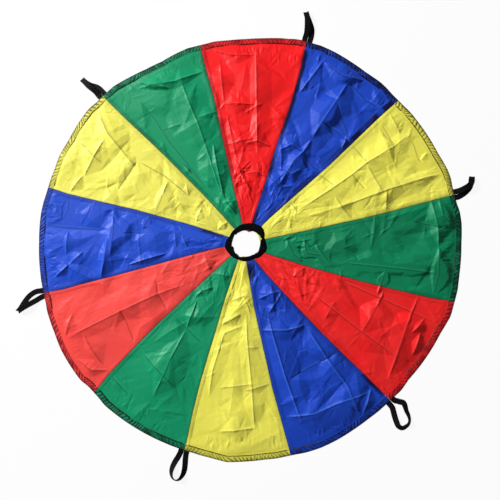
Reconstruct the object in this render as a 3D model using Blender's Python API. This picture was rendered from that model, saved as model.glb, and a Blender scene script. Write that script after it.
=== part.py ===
# A play parachute spread out on the ground: twelve cloth gores, their sewn seams,
# a bound vent in the middle and six webbing handles round the rim.
# Metres, +Z up. The origin is on the ground under the middle of the vent,
# and +Y points to the gore at twelve o'clock. Gores and seams count clockwise.

import math

import bmesh
import bpy
from mathutils import Matrix, Vector

# Driving sizes
rimRadius = 0.9144
goresPerHalf = 6
seatGap = 0.0003
clothThickness = 0.0008
hemWidth = 0.028
hemThickness = 0.0022
seamWidth = 0.018
seamThickness = 0.0012
ventRadius = 0.061
bindingWidth = 0.026
bindingThickness = 0.0008
webbingWidth = 0.024
webbingThickness = 0.0015
sewnLength = 0.026
threadWidth = 0.001
threadHeight = 0.0005
stitchMargin = 0.003

# What follows from them
goreCount = 2 * goresPerHalf
goreAngle = 2 * math.pi / goreCount
handleStep = 2
foldSeam = goreCount // 4
underLevel = max(webbingThickness, seamThickness, bindingThickness) + seatGap
hemStep = hemThickness
clothTop = underLevel + clothThickness
bindingOuter = ventRadius + bindingWidth
bindingTop = clothTop + seatGap + bindingThickness
flatRadius = bindingOuter + 2 * seatGap
hingeSetback = webbingThickness / 2 + seatGap

# How the parachute lies in the photograph. Each share is a share of the gore angle or of the rim radius.
foldTurnShare = 0.02
seamTurnShares = [
    -0.009, -0.009, -0.015, foldTurnShare, -0.03, -0.05,
    0.0, 0.03, 0.01, foldTurnShare, 0.02, -0.013,
]
seamReachShares = [
    1.018, 0.995, 1.004, 1.005, 0.984, 1.001, 1.003, 1.003, 0.996, 0.997, 1.003, 0.993,
]
goreReachShares = [
    0.995, 1.004, 1.0, 1.004, 0.985, 0.993, 1.012, 1.005, 1.012, 1.0, 1.001, 0.982,
]

# Main folds of each gore: how high it billows and how sharp its packing crease stands, as shares of
# the distance from the vent, and where along the gore its two cross folds lie.
billowShares = [
    0.013, 0.016, 0.012, 0.015, 0.014, 0.012, 0.016, 0.013, 0.015, 0.012, 0.016, 0.014,
]
creaseShares = [
    0.004, -0.005, 0.005, -0.004, 0.005, -0.005, 0.004, 0.005, -0.004, 0.005, -0.005, 0.004,
]
crossPhaseShares = [
    0.1, 0.55, 0.3, 0.8, 0.0, 0.45, 0.7, 0.2, 0.6, 0.9, 0.35, 0.75,
]
crossFoldShare = 0.45
crossFoldCount = 2.5
hemFallPower = 6

# Places of the grid lines on a gore: across it from its clockwise seam, and along the run from binding to hem
columnShares = [0.16, 0.28, 0.39, 0.5, 0.61, 0.72, 0.84]
rowShares = [0.08, 0.2, 0.34, 0.48, 0.62, 0.76, 0.89]
flatRimShare = 1.15
arcSteps = 3

# Each handle loop: stations along the middle of its webbing, from one sewn end to the other, given as
# (outwards, to the left, height, lean in degrees), the first three as shares of the webbing's width.
loopShares = {
    "top": [
        (0.6, -0.53, 0.04, 0), (1.4, -0.5, 0.04, 0), (2.4, -0.2, 0.04, 0), (3.3, 0.35, 0.04, 0),
        (4.1, 0.95, 0.05, 0), (4.75, 1.45, 0.1, 0), (5.1, 1.72, 0.32, 0), (4.8, 1.55, 0.56, 0),
        (4.1, 1.2, 0.7, 0), (3.3, 0.95, 0.78, 0), (2.4, 0.74, 0.68, 0), (1.4, 0.58, 0.36, 0),
        (0.6, 0.54, 0.1, 0),
    ],
    "right": [
        (0.5, -0.53, 0.04, 0), (1.2, -0.32, 0.04, 0), (2.1, 0.1, 0.04, 0), (2.8, 0.62, 0.05, 0),
        (3.25, 1.3, 0.08, 0), (3.5, 2.0, 0.14, 0), (3.62, 2.4, 0.36, 0), (3.45, 2.0, 0.58, 0),
        (3.15, 1.4, 0.7, 0), (2.6, 0.98, 0.74, 0), (1.8, 0.74, 0.6, 0), (1.1, 0.62, 0.32, 0),
        (0.55, 0.54, 0.08, 0),
    ],
    "lowerRight": [
        (0.5, -0.53, 0.04, 0), (1.1, -0.6, 0.08, 4), (1.8, -0.95, 0.15, 12), (2.6, -1.35, 0.23, 22),
        (3.4, -1.74, 0.34, 36), (4.1, -1.88, 0.44, 52), (4.55, -1.42, 0.47, 60),
        (4.7, -0.7, 0.47, 60), (4.5, 0.02, 0.45, 54), (3.9, 0.46, 0.37, 40), (3.1, 0.78, 0.28, 28),
        (2.3, 1.06, 0.19, 16), (1.6, 1.08, 0.11, 6), (0.9, 0.76, 0.05, 0), (0.5, 0.6, 0.04, 0),
    ],
    "bottom": [
        (0.6, -0.53, 0.04, 0), (1.4, -0.68, 0.08, 4), (2.3, -0.94, 0.15, 12), (3.3, -1.12, 0.25, 24),
        (4.2, -1.06, 0.38, 42), (4.95, -0.66, 0.45, 54), (5.25, 0.0, 0.47, 60), (4.95, 0.62, 0.45, 54),
        (4.2, 0.98, 0.38, 42), (3.3, 1.06, 0.25, 24), (2.3, 0.9, 0.15, 12), (1.4, 0.68, 0.08, 4),
        (0.6, 0.53, 0.04, 0),
    ],
    "left": [
        (0.5, -0.55, 0.04, 0), (1.2, -0.6, 0.04, 0), (2.0, -0.42, 0.04, 0), (2.8, -0.02, 0.04, 0),
        (3.6, 0.62, 0.05, 0), (4.3, 1.3, 0.06, 0), (4.85, 1.85, 0.1, 0), (5.1, 2.08, 0.32, 0),
        (4.75, 1.95, 0.54, 0), (4.1, 1.74, 0.62, 0), (3.3, 1.5, 0.6, 0), (2.4, 1.24, 0.46, 0),
        (1.5, 0.96, 0.26, 0), (0.7, 0.68, 0.08, 0),
    ],
    "upperLeft": [
        (0.6, -0.54, 0.04, 0), (1.4, -0.6, 0.04, 0), (2.2, -0.3, 0.04, 0), (3.0, 0.2, 0.04, 0),
        (3.8, 0.32, 0.05, 0), (4.4, 0.3, 0.09, 0), (4.7, 0.3, 0.32, 0), (4.4, 0.32, 0.56, 0),
        (3.8, 0.4, 0.7, 0), (3.0, 0.56, 0.76, 0), (2.2, 0.64, 0.62, 0), (1.4, 0.6, 0.34, 0),
        (0.6, 0.54, 0.1, 0),
    ],
}
loopOrder = ["top", "right", "lowerRight", "bottom", "left", "upperLeft"]
loopRefine = 2
baseCurveShare = 0.4
baseThinShare = 0.5
steepestSine = 0.3

# Colours in order from twelve o'clock, linear
goreColours = [
    ("red", (0.78, 0.03, 0.03)),
    ("blue", (0.03, 0.08, 0.52)),
    ("yellow", (0.72, 0.66, 0.1)),
    ("green", (0.01, 0.24, 0.1)),
]
blackWebbing = (0.01, 0.01, 0.012)


def clearScene():
    for thing in list(bpy.data.objects):
        bpy.data.objects.remove(thing, do_unlink=True)


def makeMaterial(name, colour, roughness):
    material = bpy.data.materials.new(name)
    material.use_nodes = True
    shader = material.node_tree.nodes["Principled BSDF"]
    shader.inputs["Base Color"].default_value = (*colour, 1.0)
    shader.inputs["Roughness"].default_value = roughness
    shader.inputs["Metallic"].default_value = 0.0
    return material


def seamAngle(index):
    turn = seamTurnShares[index % goreCount]
    return math.pi / 2 - (index + 0.5 - turn) * goreAngle


def seamReach(index):
    return rimRadius * seamReachShares[index % goreCount]


def clockName(index):
    return str(index % goreCount or goreCount)


def seamName(index):
    return clockName(index) + "_" + clockName(index + 1)


def hasHandle(index):
    return index % handleStep == 0


def foldingHalf(index):
    return (index - foldSeam) % goreCount > goresPerHalf


def goreFoldingHalf(index):
    return (index - foldSeam - 1) % goreCount >= goresPerHalf


def polar(radius, angle, height):
    return Vector((radius * math.cos(angle), radius * math.sin(angle), height))


def joinRings(mesh, a, b):
    # The first half of a ring is one side of a thin wall and the second half its other side, run backwards.
    # Both sides are cut along the same diagonals, so the wall keeps its thickness where it twists.
    count = len(a)
    for k in range(count):
        n = (k + 1) % count
        if k < count // 2:
            mesh.faces.new((a[k], a[n], b[n]))
            mesh.faces.new((a[k], b[n], b[k]))
        else:
            mesh.faces.new((a[k], a[n], b[k]))
            mesh.faces.new((a[n], b[n], b[k]))


def solidFromRings(name, rings, material, closed=False, sheetRows=0):
    # Joins rings of equally many points into one closed solid, with flat ends unless it closes on itself.
    # The ends of a folded sheet aren't flat, so each is a strip of quads.
    mesh = bmesh.new()
    loops = [[mesh.verts.new(point) for point in ring] for ring in rings]
    for a, b in zip(loops, loops[1:] + loops[:1] if closed else loops[1:]):
        joinRings(mesh, a, b)
    count = len(rings[0])
    for ring in () if closed else (loops[0], loops[-1]):
        if not sheetRows:
            mesh.faces.new(ring)
        for k in range(sheetRows - 1):
            mesh.faces.new((ring[k], ring[k + 1], ring[count - 2 - k], ring[count - 1 - k]))
    bmesh.ops.recalc_face_normals(mesh, faces=mesh.faces)
    data = bpy.data.meshes.new(name)
    mesh.to_mesh(data)
    mesh.free()
    data.materials.append(material)
    thing = bpy.data.objects.new(name, data)
    bpy.context.scene.collection.objects.link(thing)
    return thing


def smoothShade(thing, limit=math.radians(35)):
    thing.data.shade_smooth()
    thing.data.set_sharp_from_angle(angle=limit)


def rideOn(thing, parent):
    thing.parent = parent
    thing.matrix_parent_inverse = parent.matrix_world.inverted()


def ease(share):
    return (1 - math.cos(math.pi * share)) / 2


def goreColumns(index):
    # Angles of a gore's grid lines, from its clockwise seam to the other, each with its share across.
    low, high = seamAngle(index), seamAngle(index - 1)
    flat = webbingWidth * flatRimShare
    inner = [low + math.asin(flat / seamReach(index)), high - math.asin(flat / seamReach(index - 1))]
    middle = [low + (high - low) * share for share in columnShares]
    angles = [low, inner[0], *middle, inner[1], high]
    return [(angle, (angle - low) / (high - low)) for angle in angles]


def rimAt(index, column, angle, across):
    # The rim runs straight past a seam, so a handle's two ends lie along it, and curves from there.
    last = len(columnShares) + 3
    if column <= 1:
        return seamReach(index) / math.cos(angle - seamAngle(index))
    if column >= last - 1:
        return seamReach(index - 1) / math.cos(angle - seamAngle(index - 1))
    middle = rimRadius * goreReachShares[index % goreCount]
    if across <= 0.5:
        return seamReach(index) + (middle - seamReach(index)) * ease(2 * across)
    return seamReach(index - 1) + (middle - seamReach(index - 1)) * ease(2 - 2 * across)


def billow(index, radius, along, across):
    # Height of the main folds over the flat cloth: zero on the seams, at the binding and at the hem.
    k = index % goreCount
    lift = math.sin(math.pi * across) ** 2
    crossFold = math.cos(2 * math.pi * (crossFoldCount * along + crossPhaseShares[k]))
    wave = billowShares[k] * (1 + crossFoldShare * crossFold)
    crease = creaseShares[k] * (1 - abs(2 * across - 1))
    fall = 1 - along**hemFallPower
    return (radius - flatRadius) * lift * (wave + crease) * fall


def overHandle(index, column):
    last = len(columnShares) + 3
    if column <= 1:
        return hasHandle(index)
    if column >= last - 1:
        return hasHandle(index - 1)
    return False


def makeGore(index, material):
    # Each ring is one grid line across the cloth's edge: up its top side, and back along its underside.
    colour = goreColours[index % len(goreColours)][0]
    inner = ventRadius + bindingThickness + seatGap
    rings = []
    columns = goreColumns(index)
    for column, (angle, across) in enumerate(columns):
        rim = rimAt(index, column, angle, across)
        hemInner = rim - hemWidth
        run = hemInner - hemStep - flatRadius
        rows = [(inner, underLevel, clothThickness), (flatRadius, underLevel, clothThickness)]
        for share in rowShares:
            radius = flatRadius + run * share
            height = underLevel + billow(index, radius, share, across)
            rows.append((radius, height, clothThickness))
        rows.append((hemInner - hemStep, underLevel, clothThickness))
        hemLevel = underLevel if overHandle(index, column) else 0.0
        rows += [(hemInner, hemLevel, hemThickness), (rim, hemLevel, hemThickness)]
        side = Vector((0.0, 0.0, 0.0))
        if column == 0:
            side = polar(seatGap / 2, angle + math.pi / 2, 0.0)
        elif column == len(columns) - 1:
            side = polar(seatGap / 2, angle - math.pi / 2, 0.0)
        under = [polar(radius, angle, height) + side for radius, height, _ in rows]
        top = [polar(radius, angle, height + thick) + side for radius, height, thick in rows]
        rings.append(under + top[::-1])
    gore = solidFromRings("panel_" + colour + "_" + clockName(index), rings, material, sheetRows=len(rows))
    smoothShade(gore)
    return gore


def makeSeam(index, material):
    # The felled seam: the turned-in cloth sewn flat under the join, from the binding to the hem.
    start = bindingOuter + seatGap
    end = seamReach(index) - hemWidth - hemStep - seatGap
    angle = seamAngle(index)
    top = underLevel - seatGap
    low = top - seamThickness
    side = polar(seamWidth / 2, angle + math.pi / 2, 0.0)
    rings = []
    for radius in (start, end):
        middle = polar(radius, angle, 0.0)
        up = Vector((0.0, 0.0, 1.0))
        rings.append([
            middle - side + up * low, middle + side + up * low,
            middle + side + up * top, middle - side + up * top,
        ])
    return solidFromRings("seam_" + seamName(index), rings, material)


def makeBinding(name, firstSeam, lastSeam, material):
    # Half of the tape that wraps the vent's edge: two flanges and the wall that joins them.
    under = underLevel - seatGap
    section = [
        (ventRadius, under - bindingThickness), (bindingOuter, under - bindingThickness),
        (bindingOuter, under), (ventRadius + bindingThickness, under),
        (ventRadius + bindingThickness, bindingTop - bindingThickness),
        (bindingOuter, bindingTop - bindingThickness), (bindingOuter, bindingTop),
        (ventRadius, bindingTop),
    ]
    start, end = seamAngle(lastSeam), seamAngle(firstSeam)
    steps = goresPerHalf * arcSteps
    rings = []
    for k in range(steps + 1):
        angle = start + (end - start) * k / steps
        side = Vector((0.0, 0.0, 0.0))
        if k == 0:
            side = polar(seatGap / 2, angle + math.pi / 2, 0.0)
        elif k == steps:
            side = polar(seatGap / 2, angle - math.pi / 2, 0.0)
        rings.append([polar(radius, angle, height) + side for radius, height in section])
    return solidFromRings(name, rings, material)


def handleFrame(index):
    # A handle's hinge lies across the rim at mid-thickness of its webbing.
    angle = seamAngle(index)
    place = Matrix.Translation(polar(seamReach(index) + hingeSetback, angle, webbingThickness / 2))
    return place @ Matrix.Rotation(angle, 4, "Z")


def loopStations(shares):
    # The shares in metres from the hinge, with the straight stretch that meets each sewn end.
    leg = (webbingWidth + seatGap) / 2
    low = -webbingThickness / 2
    middle = []
    for out, left, height, lean in shares:
        place = Vector((out * webbingWidth, left * webbingWidth, low + height * webbingWidth))
        middle.append((place, math.radians(lean)))
    ends = [(Vector((0.0, side * leg, 0.0)), 0.0) for side in (-1, 1)]
    path = [ends[0], *middle, ends[1]]
    smooth = []
    for k in range(len(path) - 1):
        before, here, there, after = (path[min(max(k + d, 0), len(path) - 1)] for d in (-1, 0, 1, 2))
        for step in range(loopRefine):
            t = step / loopRefine
            smooth.append(tuple(spline(before[n], here[n], there[n], after[n], t) for n in (0, 1)))
    smooth.append(path[-1])
    return smooth


def spline(a, b, c, d, t):
    # A Catmull-Rom curve from b to c
    return (b * 2 + (c - a) * t + (a * 2 - b * 5 + c * 4 - d) * t**2 + (b * 3 - a - c * 3 + d) * t**3) / 2


def makeLoop(index, material):
    # A band of webbing along the stations, with a rounded edge on the hinge at both of its ends.
    shares = loopShares[loopOrder[(index // handleStep) % len(loopOrder)]]
    stations = loopStations(shares)
    up = Vector((0.0, 0.0, 1.0))
    across = Vector((0.0, 1.0, 0.0))
    bands = []
    for k, (place, lean) in enumerate(stations):
        before = stations[max(k - 1, 0)][0]
        after = stations[min(k + 1, len(stations) - 1)][0]
        ahead = (after - before).normalized()
        if k == 0:
            ahead = Vector((1.0, 0.0, 0.0))
        elif k == len(stations) - 1:
            ahead = Vector((-1.0, 0.0, 0.0))
        level = up.cross(ahead)
        if level.length > steepestSine:
            level.normalize()
            across = level if level.dot(across) > 0 else -level
        else:
            across = (across - ahead * across.dot(ahead)).normalized()
        width = Matrix.Rotation(lean, 3, ahead) @ across
        bands.append((place, width, ahead.cross(width).normalized(), 1.0))
    tuck = baseCurveShare * webbingThickness
    first, last = bands[0], bands[-1]
    inwards = Vector((-1.0, 0.0, 0.0)) * tuck
    bands.insert(0, (first[0] + inwards, first[1], first[2], baseThinShare))
    bands.append((last[0] + inwards, last[1], last[2], baseThinShare))
    rings = []
    for place, width, thick, thin in bands:
        w = width * webbingWidth / 2
        t = thick * webbingThickness / 2 * thin
        rings.append([place - w - t, place + w - t, place + w + t, place - w + t])
    loop = solidFromRings("handle_loop_" + seamName(index), rings, material)
    smoothShade(loop)
    loop.matrix_world = handleFrame(index)
    return loop


def makeSewnEnd(index, side, material):
    # One flat end of the webbing, sewn to the underside of the hem beside the seam.
    near = seatGap / 2
    far = near + webbingWidth
    low = -webbingThickness / 2
    high = webbingThickness / 2
    out = -hingeSetback
    back = out - sewnLength
    ring = [(back, near), (out, near), (out, far), (back, far)]
    rings = [[Vector((x, side * y, z)) for x, y in ring] for z in (low, high)]
    letter = "a" if side < 0 else "b"
    end = solidFromRings("handle_end_" + seamName(index) + "_" + letter, rings, material)
    end.matrix_world = handleFrame(index)
    return end


def makeStitching(index, material):
    # The box of stitches that holds both ends, lying on top of the hem.
    low = underLevel + hemThickness + seatGap - webbingThickness / 2
    high = low + threadHeight
    out = -hingeSetback - stitchMargin
    back = -hingeSetback - sewnLength + stitchMargin
    half = webbingWidth - stitchMargin
    rings = []
    corners = [(back, -half, 1, 1), (out, -half, -1, 1), (out, half, -1, -1), (back, half, 1, -1)]
    for x, y, inX, inY in corners:
        far = (x + inX * threadWidth, y + inY * threadWidth)
        rings.append([Vector((*p, z)) for p, z in (((x, y), low), (far, low), (far, high), ((x, y), high))])
    stitching = solidFromRings("handle_stitching_" + seamName(index), rings, material, closed=True)
    stitching.matrix_world = handleFrame(index)
    return stitching


def makeFoldAxis():
    # The canopy folds in half along the line of two facing seams that have no handle.
    axis = bpy.data.objects.new("fold_axis", None)
    axis.matrix_world = Matrix.Translation((0.0, 0.0, bindingTop)) @ Matrix.Rotation(seamAngle(foldSeam), 4, "Z")
    bpy.context.scene.collection.objects.link(axis)
    return axis


def buildParachute():
    clearScene()
    cloth = [makeMaterial("taffeta_" + name, colour, 0.45) for name, colour in goreColours]
    webbing = makeMaterial("webbing_black", blackWebbing, 0.55)
    tape = makeMaterial("tape_black", blackWebbing, 0.7)
    thread = makeMaterial("thread_black", blackWebbing, 0.8)
    folding = []
    for index in range(goreCount):
        gore = makeGore(index, cloth[index % len(cloth)])
        if goreFoldingHalf(index):
            folding.append(gore)
    for index in range(goreCount):
        pieces = [makeSeam(index, cloth[index % len(cloth)])]
        if hasHandle(index):
            pieces += [makeSewnEnd(index, side, webbing) for side in (-1, 1)]
            pieces += [makeStitching(index, thread), makeLoop(index, webbing)]
        if foldingHalf(index):
            folding += pieces
    opposite = foldSeam + goresPerHalf
    makeBinding("vent_binding_fixed", foldSeam, opposite, tape)
    folding.append(makeBinding("vent_binding_folding", opposite, foldSeam + goreCount, tape))
    bpy.context.view_layer.update()
    axis = makeFoldAxis()
    bpy.context.view_layer.update()
    for thing in folding:
        rideOn(thing, axis)


buildParachute()
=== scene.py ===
import math

import bpy
import numpy as np
from mathutils import Matrix, Vector


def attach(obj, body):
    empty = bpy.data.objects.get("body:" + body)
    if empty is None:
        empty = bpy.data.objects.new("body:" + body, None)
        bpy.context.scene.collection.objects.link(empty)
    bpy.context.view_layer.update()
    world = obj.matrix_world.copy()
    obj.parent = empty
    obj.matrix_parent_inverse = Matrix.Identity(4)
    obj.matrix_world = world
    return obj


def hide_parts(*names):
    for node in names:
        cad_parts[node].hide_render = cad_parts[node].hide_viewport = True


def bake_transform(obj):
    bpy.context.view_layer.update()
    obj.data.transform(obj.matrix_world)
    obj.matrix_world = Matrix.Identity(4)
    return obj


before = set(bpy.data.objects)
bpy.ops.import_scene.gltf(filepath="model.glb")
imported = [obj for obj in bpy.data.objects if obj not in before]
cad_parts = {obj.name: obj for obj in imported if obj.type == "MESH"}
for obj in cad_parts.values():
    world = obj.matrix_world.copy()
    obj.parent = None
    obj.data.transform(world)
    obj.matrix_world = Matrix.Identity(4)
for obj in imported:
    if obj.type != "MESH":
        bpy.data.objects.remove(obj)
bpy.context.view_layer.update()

# A play parachute spread out on the ground. Metres, +Z up, the origin on the ground under the vent's middle.
# Gores and seams count clockwise from twelve o'clock: gore k lies between seam k - 1 and seam k.
canopy = {
    "rimRadius": 0.9144,
    "goreCount": 12,
    # turns as shares of the gore angle, reaches as shares of the rim radius
    "seamTurns": [-0.009, -0.009, -0.015, 0.02, -0.03, -0.05, 0.0, 0.03, 0.01, 0.02, 0.02, -0.013],
    "seamReaches": [1.018, 0.995, 1.004, 1.005, 0.984, 1.001, 1.003, 1.003, 0.996, 0.997, 1.003, 0.993],
    # the rim between the seams: (degrees, share of the rim radius)
    "rimShares": [
        (1.5, 1.005), (6.6, 1.012), (11.6, 1.012), (21.6, 1.01), (26.6, 1.001), (36.6, 0.999), (46.6, 0.998),
        (51.6, 1.003), (56.6, 1.001), (61.6, 1.008), (66.6, 1.016), (71.6, 1.021), (81.6, 1.01), (86.6, 1),
        (91.5, 0.994), (96.5, 0.993), (101.5, 0.997), (106.5, 0.996), (111.5, 0.989), (116.4, 0.979),
        (121.4, 0.982), (126.4, 0.992), (131.4, 1.004), (141.3, 1.011), (146.3, 1.006), (151.3, 1),
        (156.3, 1.003), (161.3, 0.996), (166.3, 0.999), (173, 1.002), (181, 0.997), (191, 0.997),
        (201.4, 1.003), (206.4, 1.005), (211.4, 1.012), (216.5, 1.013), (221.5, 1.013), (240, 1.006),
        (255, 1.003), (262, 1.008), (266.7, 1.017), (271.7, 1.009), (276.7, 1.003), (284, 1.004),
        (291.7, 1.004), (296.6, 0.999), (301.7, 0.992), (306.6, 0.987), (311.6, 0.986), (316.6, 0.989),
        (321.6, 0.98), (329, 0.986), (336.6, 0.992), (341.6, 1.005), (346.5, 1.006), (354, 1.003),
    ],
    "straightPastSeam": 0.028,
    "easeFromSeam": 0.06,
    "colours": ["red", "blue", "yellow", "green"],
    "hemWidth": 0.028,
    # where the seams start, under the vent's tape
    "seamStart": 0.09,
    "seamLevel": 0.0026,
    # one of the two facing seams along which the canopy folds, and how high the cloth lies beside them
    "foldSeam": 3,
    "foldLevel": 0.0034,
    "foldSlope": 0.12,
}
goreCount, rimRadius, hemWidth = canopy["goreCount"], canopy["rimRadius"], canopy["hemWidth"]
foldSeams = (canopy["foldSeam"], canopy["foldSeam"] + goreCount // 2)


def seamAngle(index):
    return math.pi / 2 - (index + 0.5 - canopy["seamTurns"][index % goreCount]) * 2 * math.pi / goreCount


def seamReach(index):
    return rimRadius * canopy["seamReaches"][index % goreCount]


def clockName(index):
    return str(index % goreCount or goreCount)


def seamName(index):
    return clockName(index) + "_" + clockName(index + 1)


def goreColour(index):
    return canopy["colours"][index % len(canopy["colours"])]


def goreName(index):
    return goreColour(index) + "_" + clockName(index)


def bodyOf(index):
    # The body of a gore, and of the seam of the same number where it isn't a fold
    folding = (index - canopy["foldSeam"] - 1) % goreCount >= goreCount // 2
    return "canopy_folding" if folding else "canopy"


def smoothStep(value):
    share = np.clip(value, 0.0, 1.0)
    return share * share * (3 - 2 * share)


def band(distance, start, end, soft):
    return smoothStep((distance - start) / soft + 0.5) * smoothStep((end - distance) / soft + 0.5)


def ridge(distance, width):
    return np.exp(-((distance / width) ** 2))


def seamDistances(index, radius, theta):
    # side 0 is a gore's clockwise seam
    return radius * np.sin(theta - seamAngle(index)), radius * np.sin(seamAngle(index - 1) - theta)


def fromFoldLine(x, y):
    line = seamAngle(canopy["foldSeam"])
    return np.abs(x * math.sin(line) - y * math.cos(line))


def rimAt(index, theta):
    # The rim as it lies: straight past each seam, where the handles are sewn on, and wavy between
    degrees, shares = zip(*canopy["rimShares"])
    wavy = rimRadius * np.interp(np.degrees(theta) % 360, degrees, shares, period=360)
    for seam in (index, index - 1):
        turn = theta - seamAngle(seam)
        straight = seamReach(seam) / np.cos(turn)
        away = (np.abs(np.sin(turn)) * seamReach(seam) - canopy["straightPastSeam"]) / canopy["easeFromSeam"]
        wavy = straight + (wavy - straight) * smoothStep(away)
    return wavy


# How far each seam lies beside its straight line, anticlockwise, in millimetres at these radii in metres
seamBows = {
    "radii": [0.09, 0.15, 0.27, 0.39, 0.51, 0.63, 0.75, 0.82, 0.884],
    "offsets": [
        (0, 0, -4, -3, -6, -11, -10, -7, 0), (8, 9, 6, 2, -1, 0, 2, 2, 0),
        (-2, -3, -6, -7, -9, -8, -4, -2, 0), (-18, -20, -23, -22, -22, -18, -12, -9, 0),
        (-20, -24, -24, -22, -20, -14, -6, -3, 0), (-15, -17, -21, -20, -18, -16, -8, -4, 0),
        (-12, -14, -18, -17, -18, -17, -12, -6, 0), (-7, -9, -13, -15, -18, -16, -12, -9, 0),
        (-8, -10, -8, -5, -2, 0, 1, 4, 0), (-7, -9, -12, -11, -10, -4, 1, 4, 0),
        (-9, -12, -15, -14, -13, -9, -3, -1, 0), (-5, -5, -3, -4, -5, -8, -4, -1, 0),
    ],
}


def bowed(radius, theta):
    # The angle at which a point of the straight-seamed pattern lies
    turn = 0 * (radius + theta)
    angles = [seamAngle(k) for k in range(-1, goreCount + 1)]
    for after, here, before, offsets in zip(angles, angles[1:], angles[2:], seamBows["offsets"]):
        away = (theta - here + math.pi) % (2 * math.pi) - math.pi
        weight = np.interp(away, [before - here, 0, after - here], [0, 1, 0])
        turn = turn + weight * np.interp(radius, seamBows["radii"], offsets) / 1000 / radius
    return theta + turn


def polarPoints(radius, theta, height):
    return np.stack([radius * np.cos(theta), radius * np.sin(theta), height + 0 * radius], axis=-1)


def onGround(radius, theta, height):
    return polarPoints(radius, bowed(radius, theta), height)


# Noise on a square lattice, the same on every run
hashing = {"across": 374761393, "along": 668265263, "seed": 974634777, "mix": 1274126177, "bits": 0xFFFFFFFF}


def latticeNoise(x, y, cell, seed):
    i, j = np.floor(x / cell).astype(np.int64), np.floor(y / cell).astype(np.int64)
    u, v = smoothStep(x / cell - i), smoothStep(y / cell - j)

    def corner(a, b):
        n = (a * hashing["across"] + b * hashing["along"] + seed * hashing["seed"]) & hashing["bits"]
        n = ((n ^ (n >> 13)) * hashing["mix"]) & hashing["bits"]
        return ((n ^ (n >> 16)) & 0xFFFF) / 32767.5 - 1

    low = corner(i, j) * (1 - u) + corner(i + 1, j) * u
    high = corner(i, j + 1) * (1 - u) + corner(i + 1, j + 1) * u
    return low * (1 - v) + high * v


def wander(run, cell, seed):
    return latticeNoise(run, 0 * run, cell, seed)


def pleat(run):
    return np.abs(np.sin(np.pi * run)) ** 0.8


def crumple(x, y, pitch, seed):
    # Short straight folds in several directions, sharp along their ridges, as thin crisp cloth keeps them
    draws = np.random.default_rng(seed)
    total = np.zeros_like(x)
    for way in range(relief["crumpleWays"]):
        turn, size, phase = draws.uniform((0, 0.7, 0), (math.pi, 1.6, 1))
        warp = 0.35 * latticeNoise(x, y, 2.5 * pitch, seed + 10 * way)
        run = (x * math.cos(turn) + y * math.sin(turn)) / (pitch * size) + warp + phase
        wave = 2 * np.abs(2 * (run % 1) - 1) - 1
        total += wave * np.clip(1.6 * latticeNoise(x, y, 3 * pitch, seed + 10 * way + 5), 0, 1)
    return total


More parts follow.
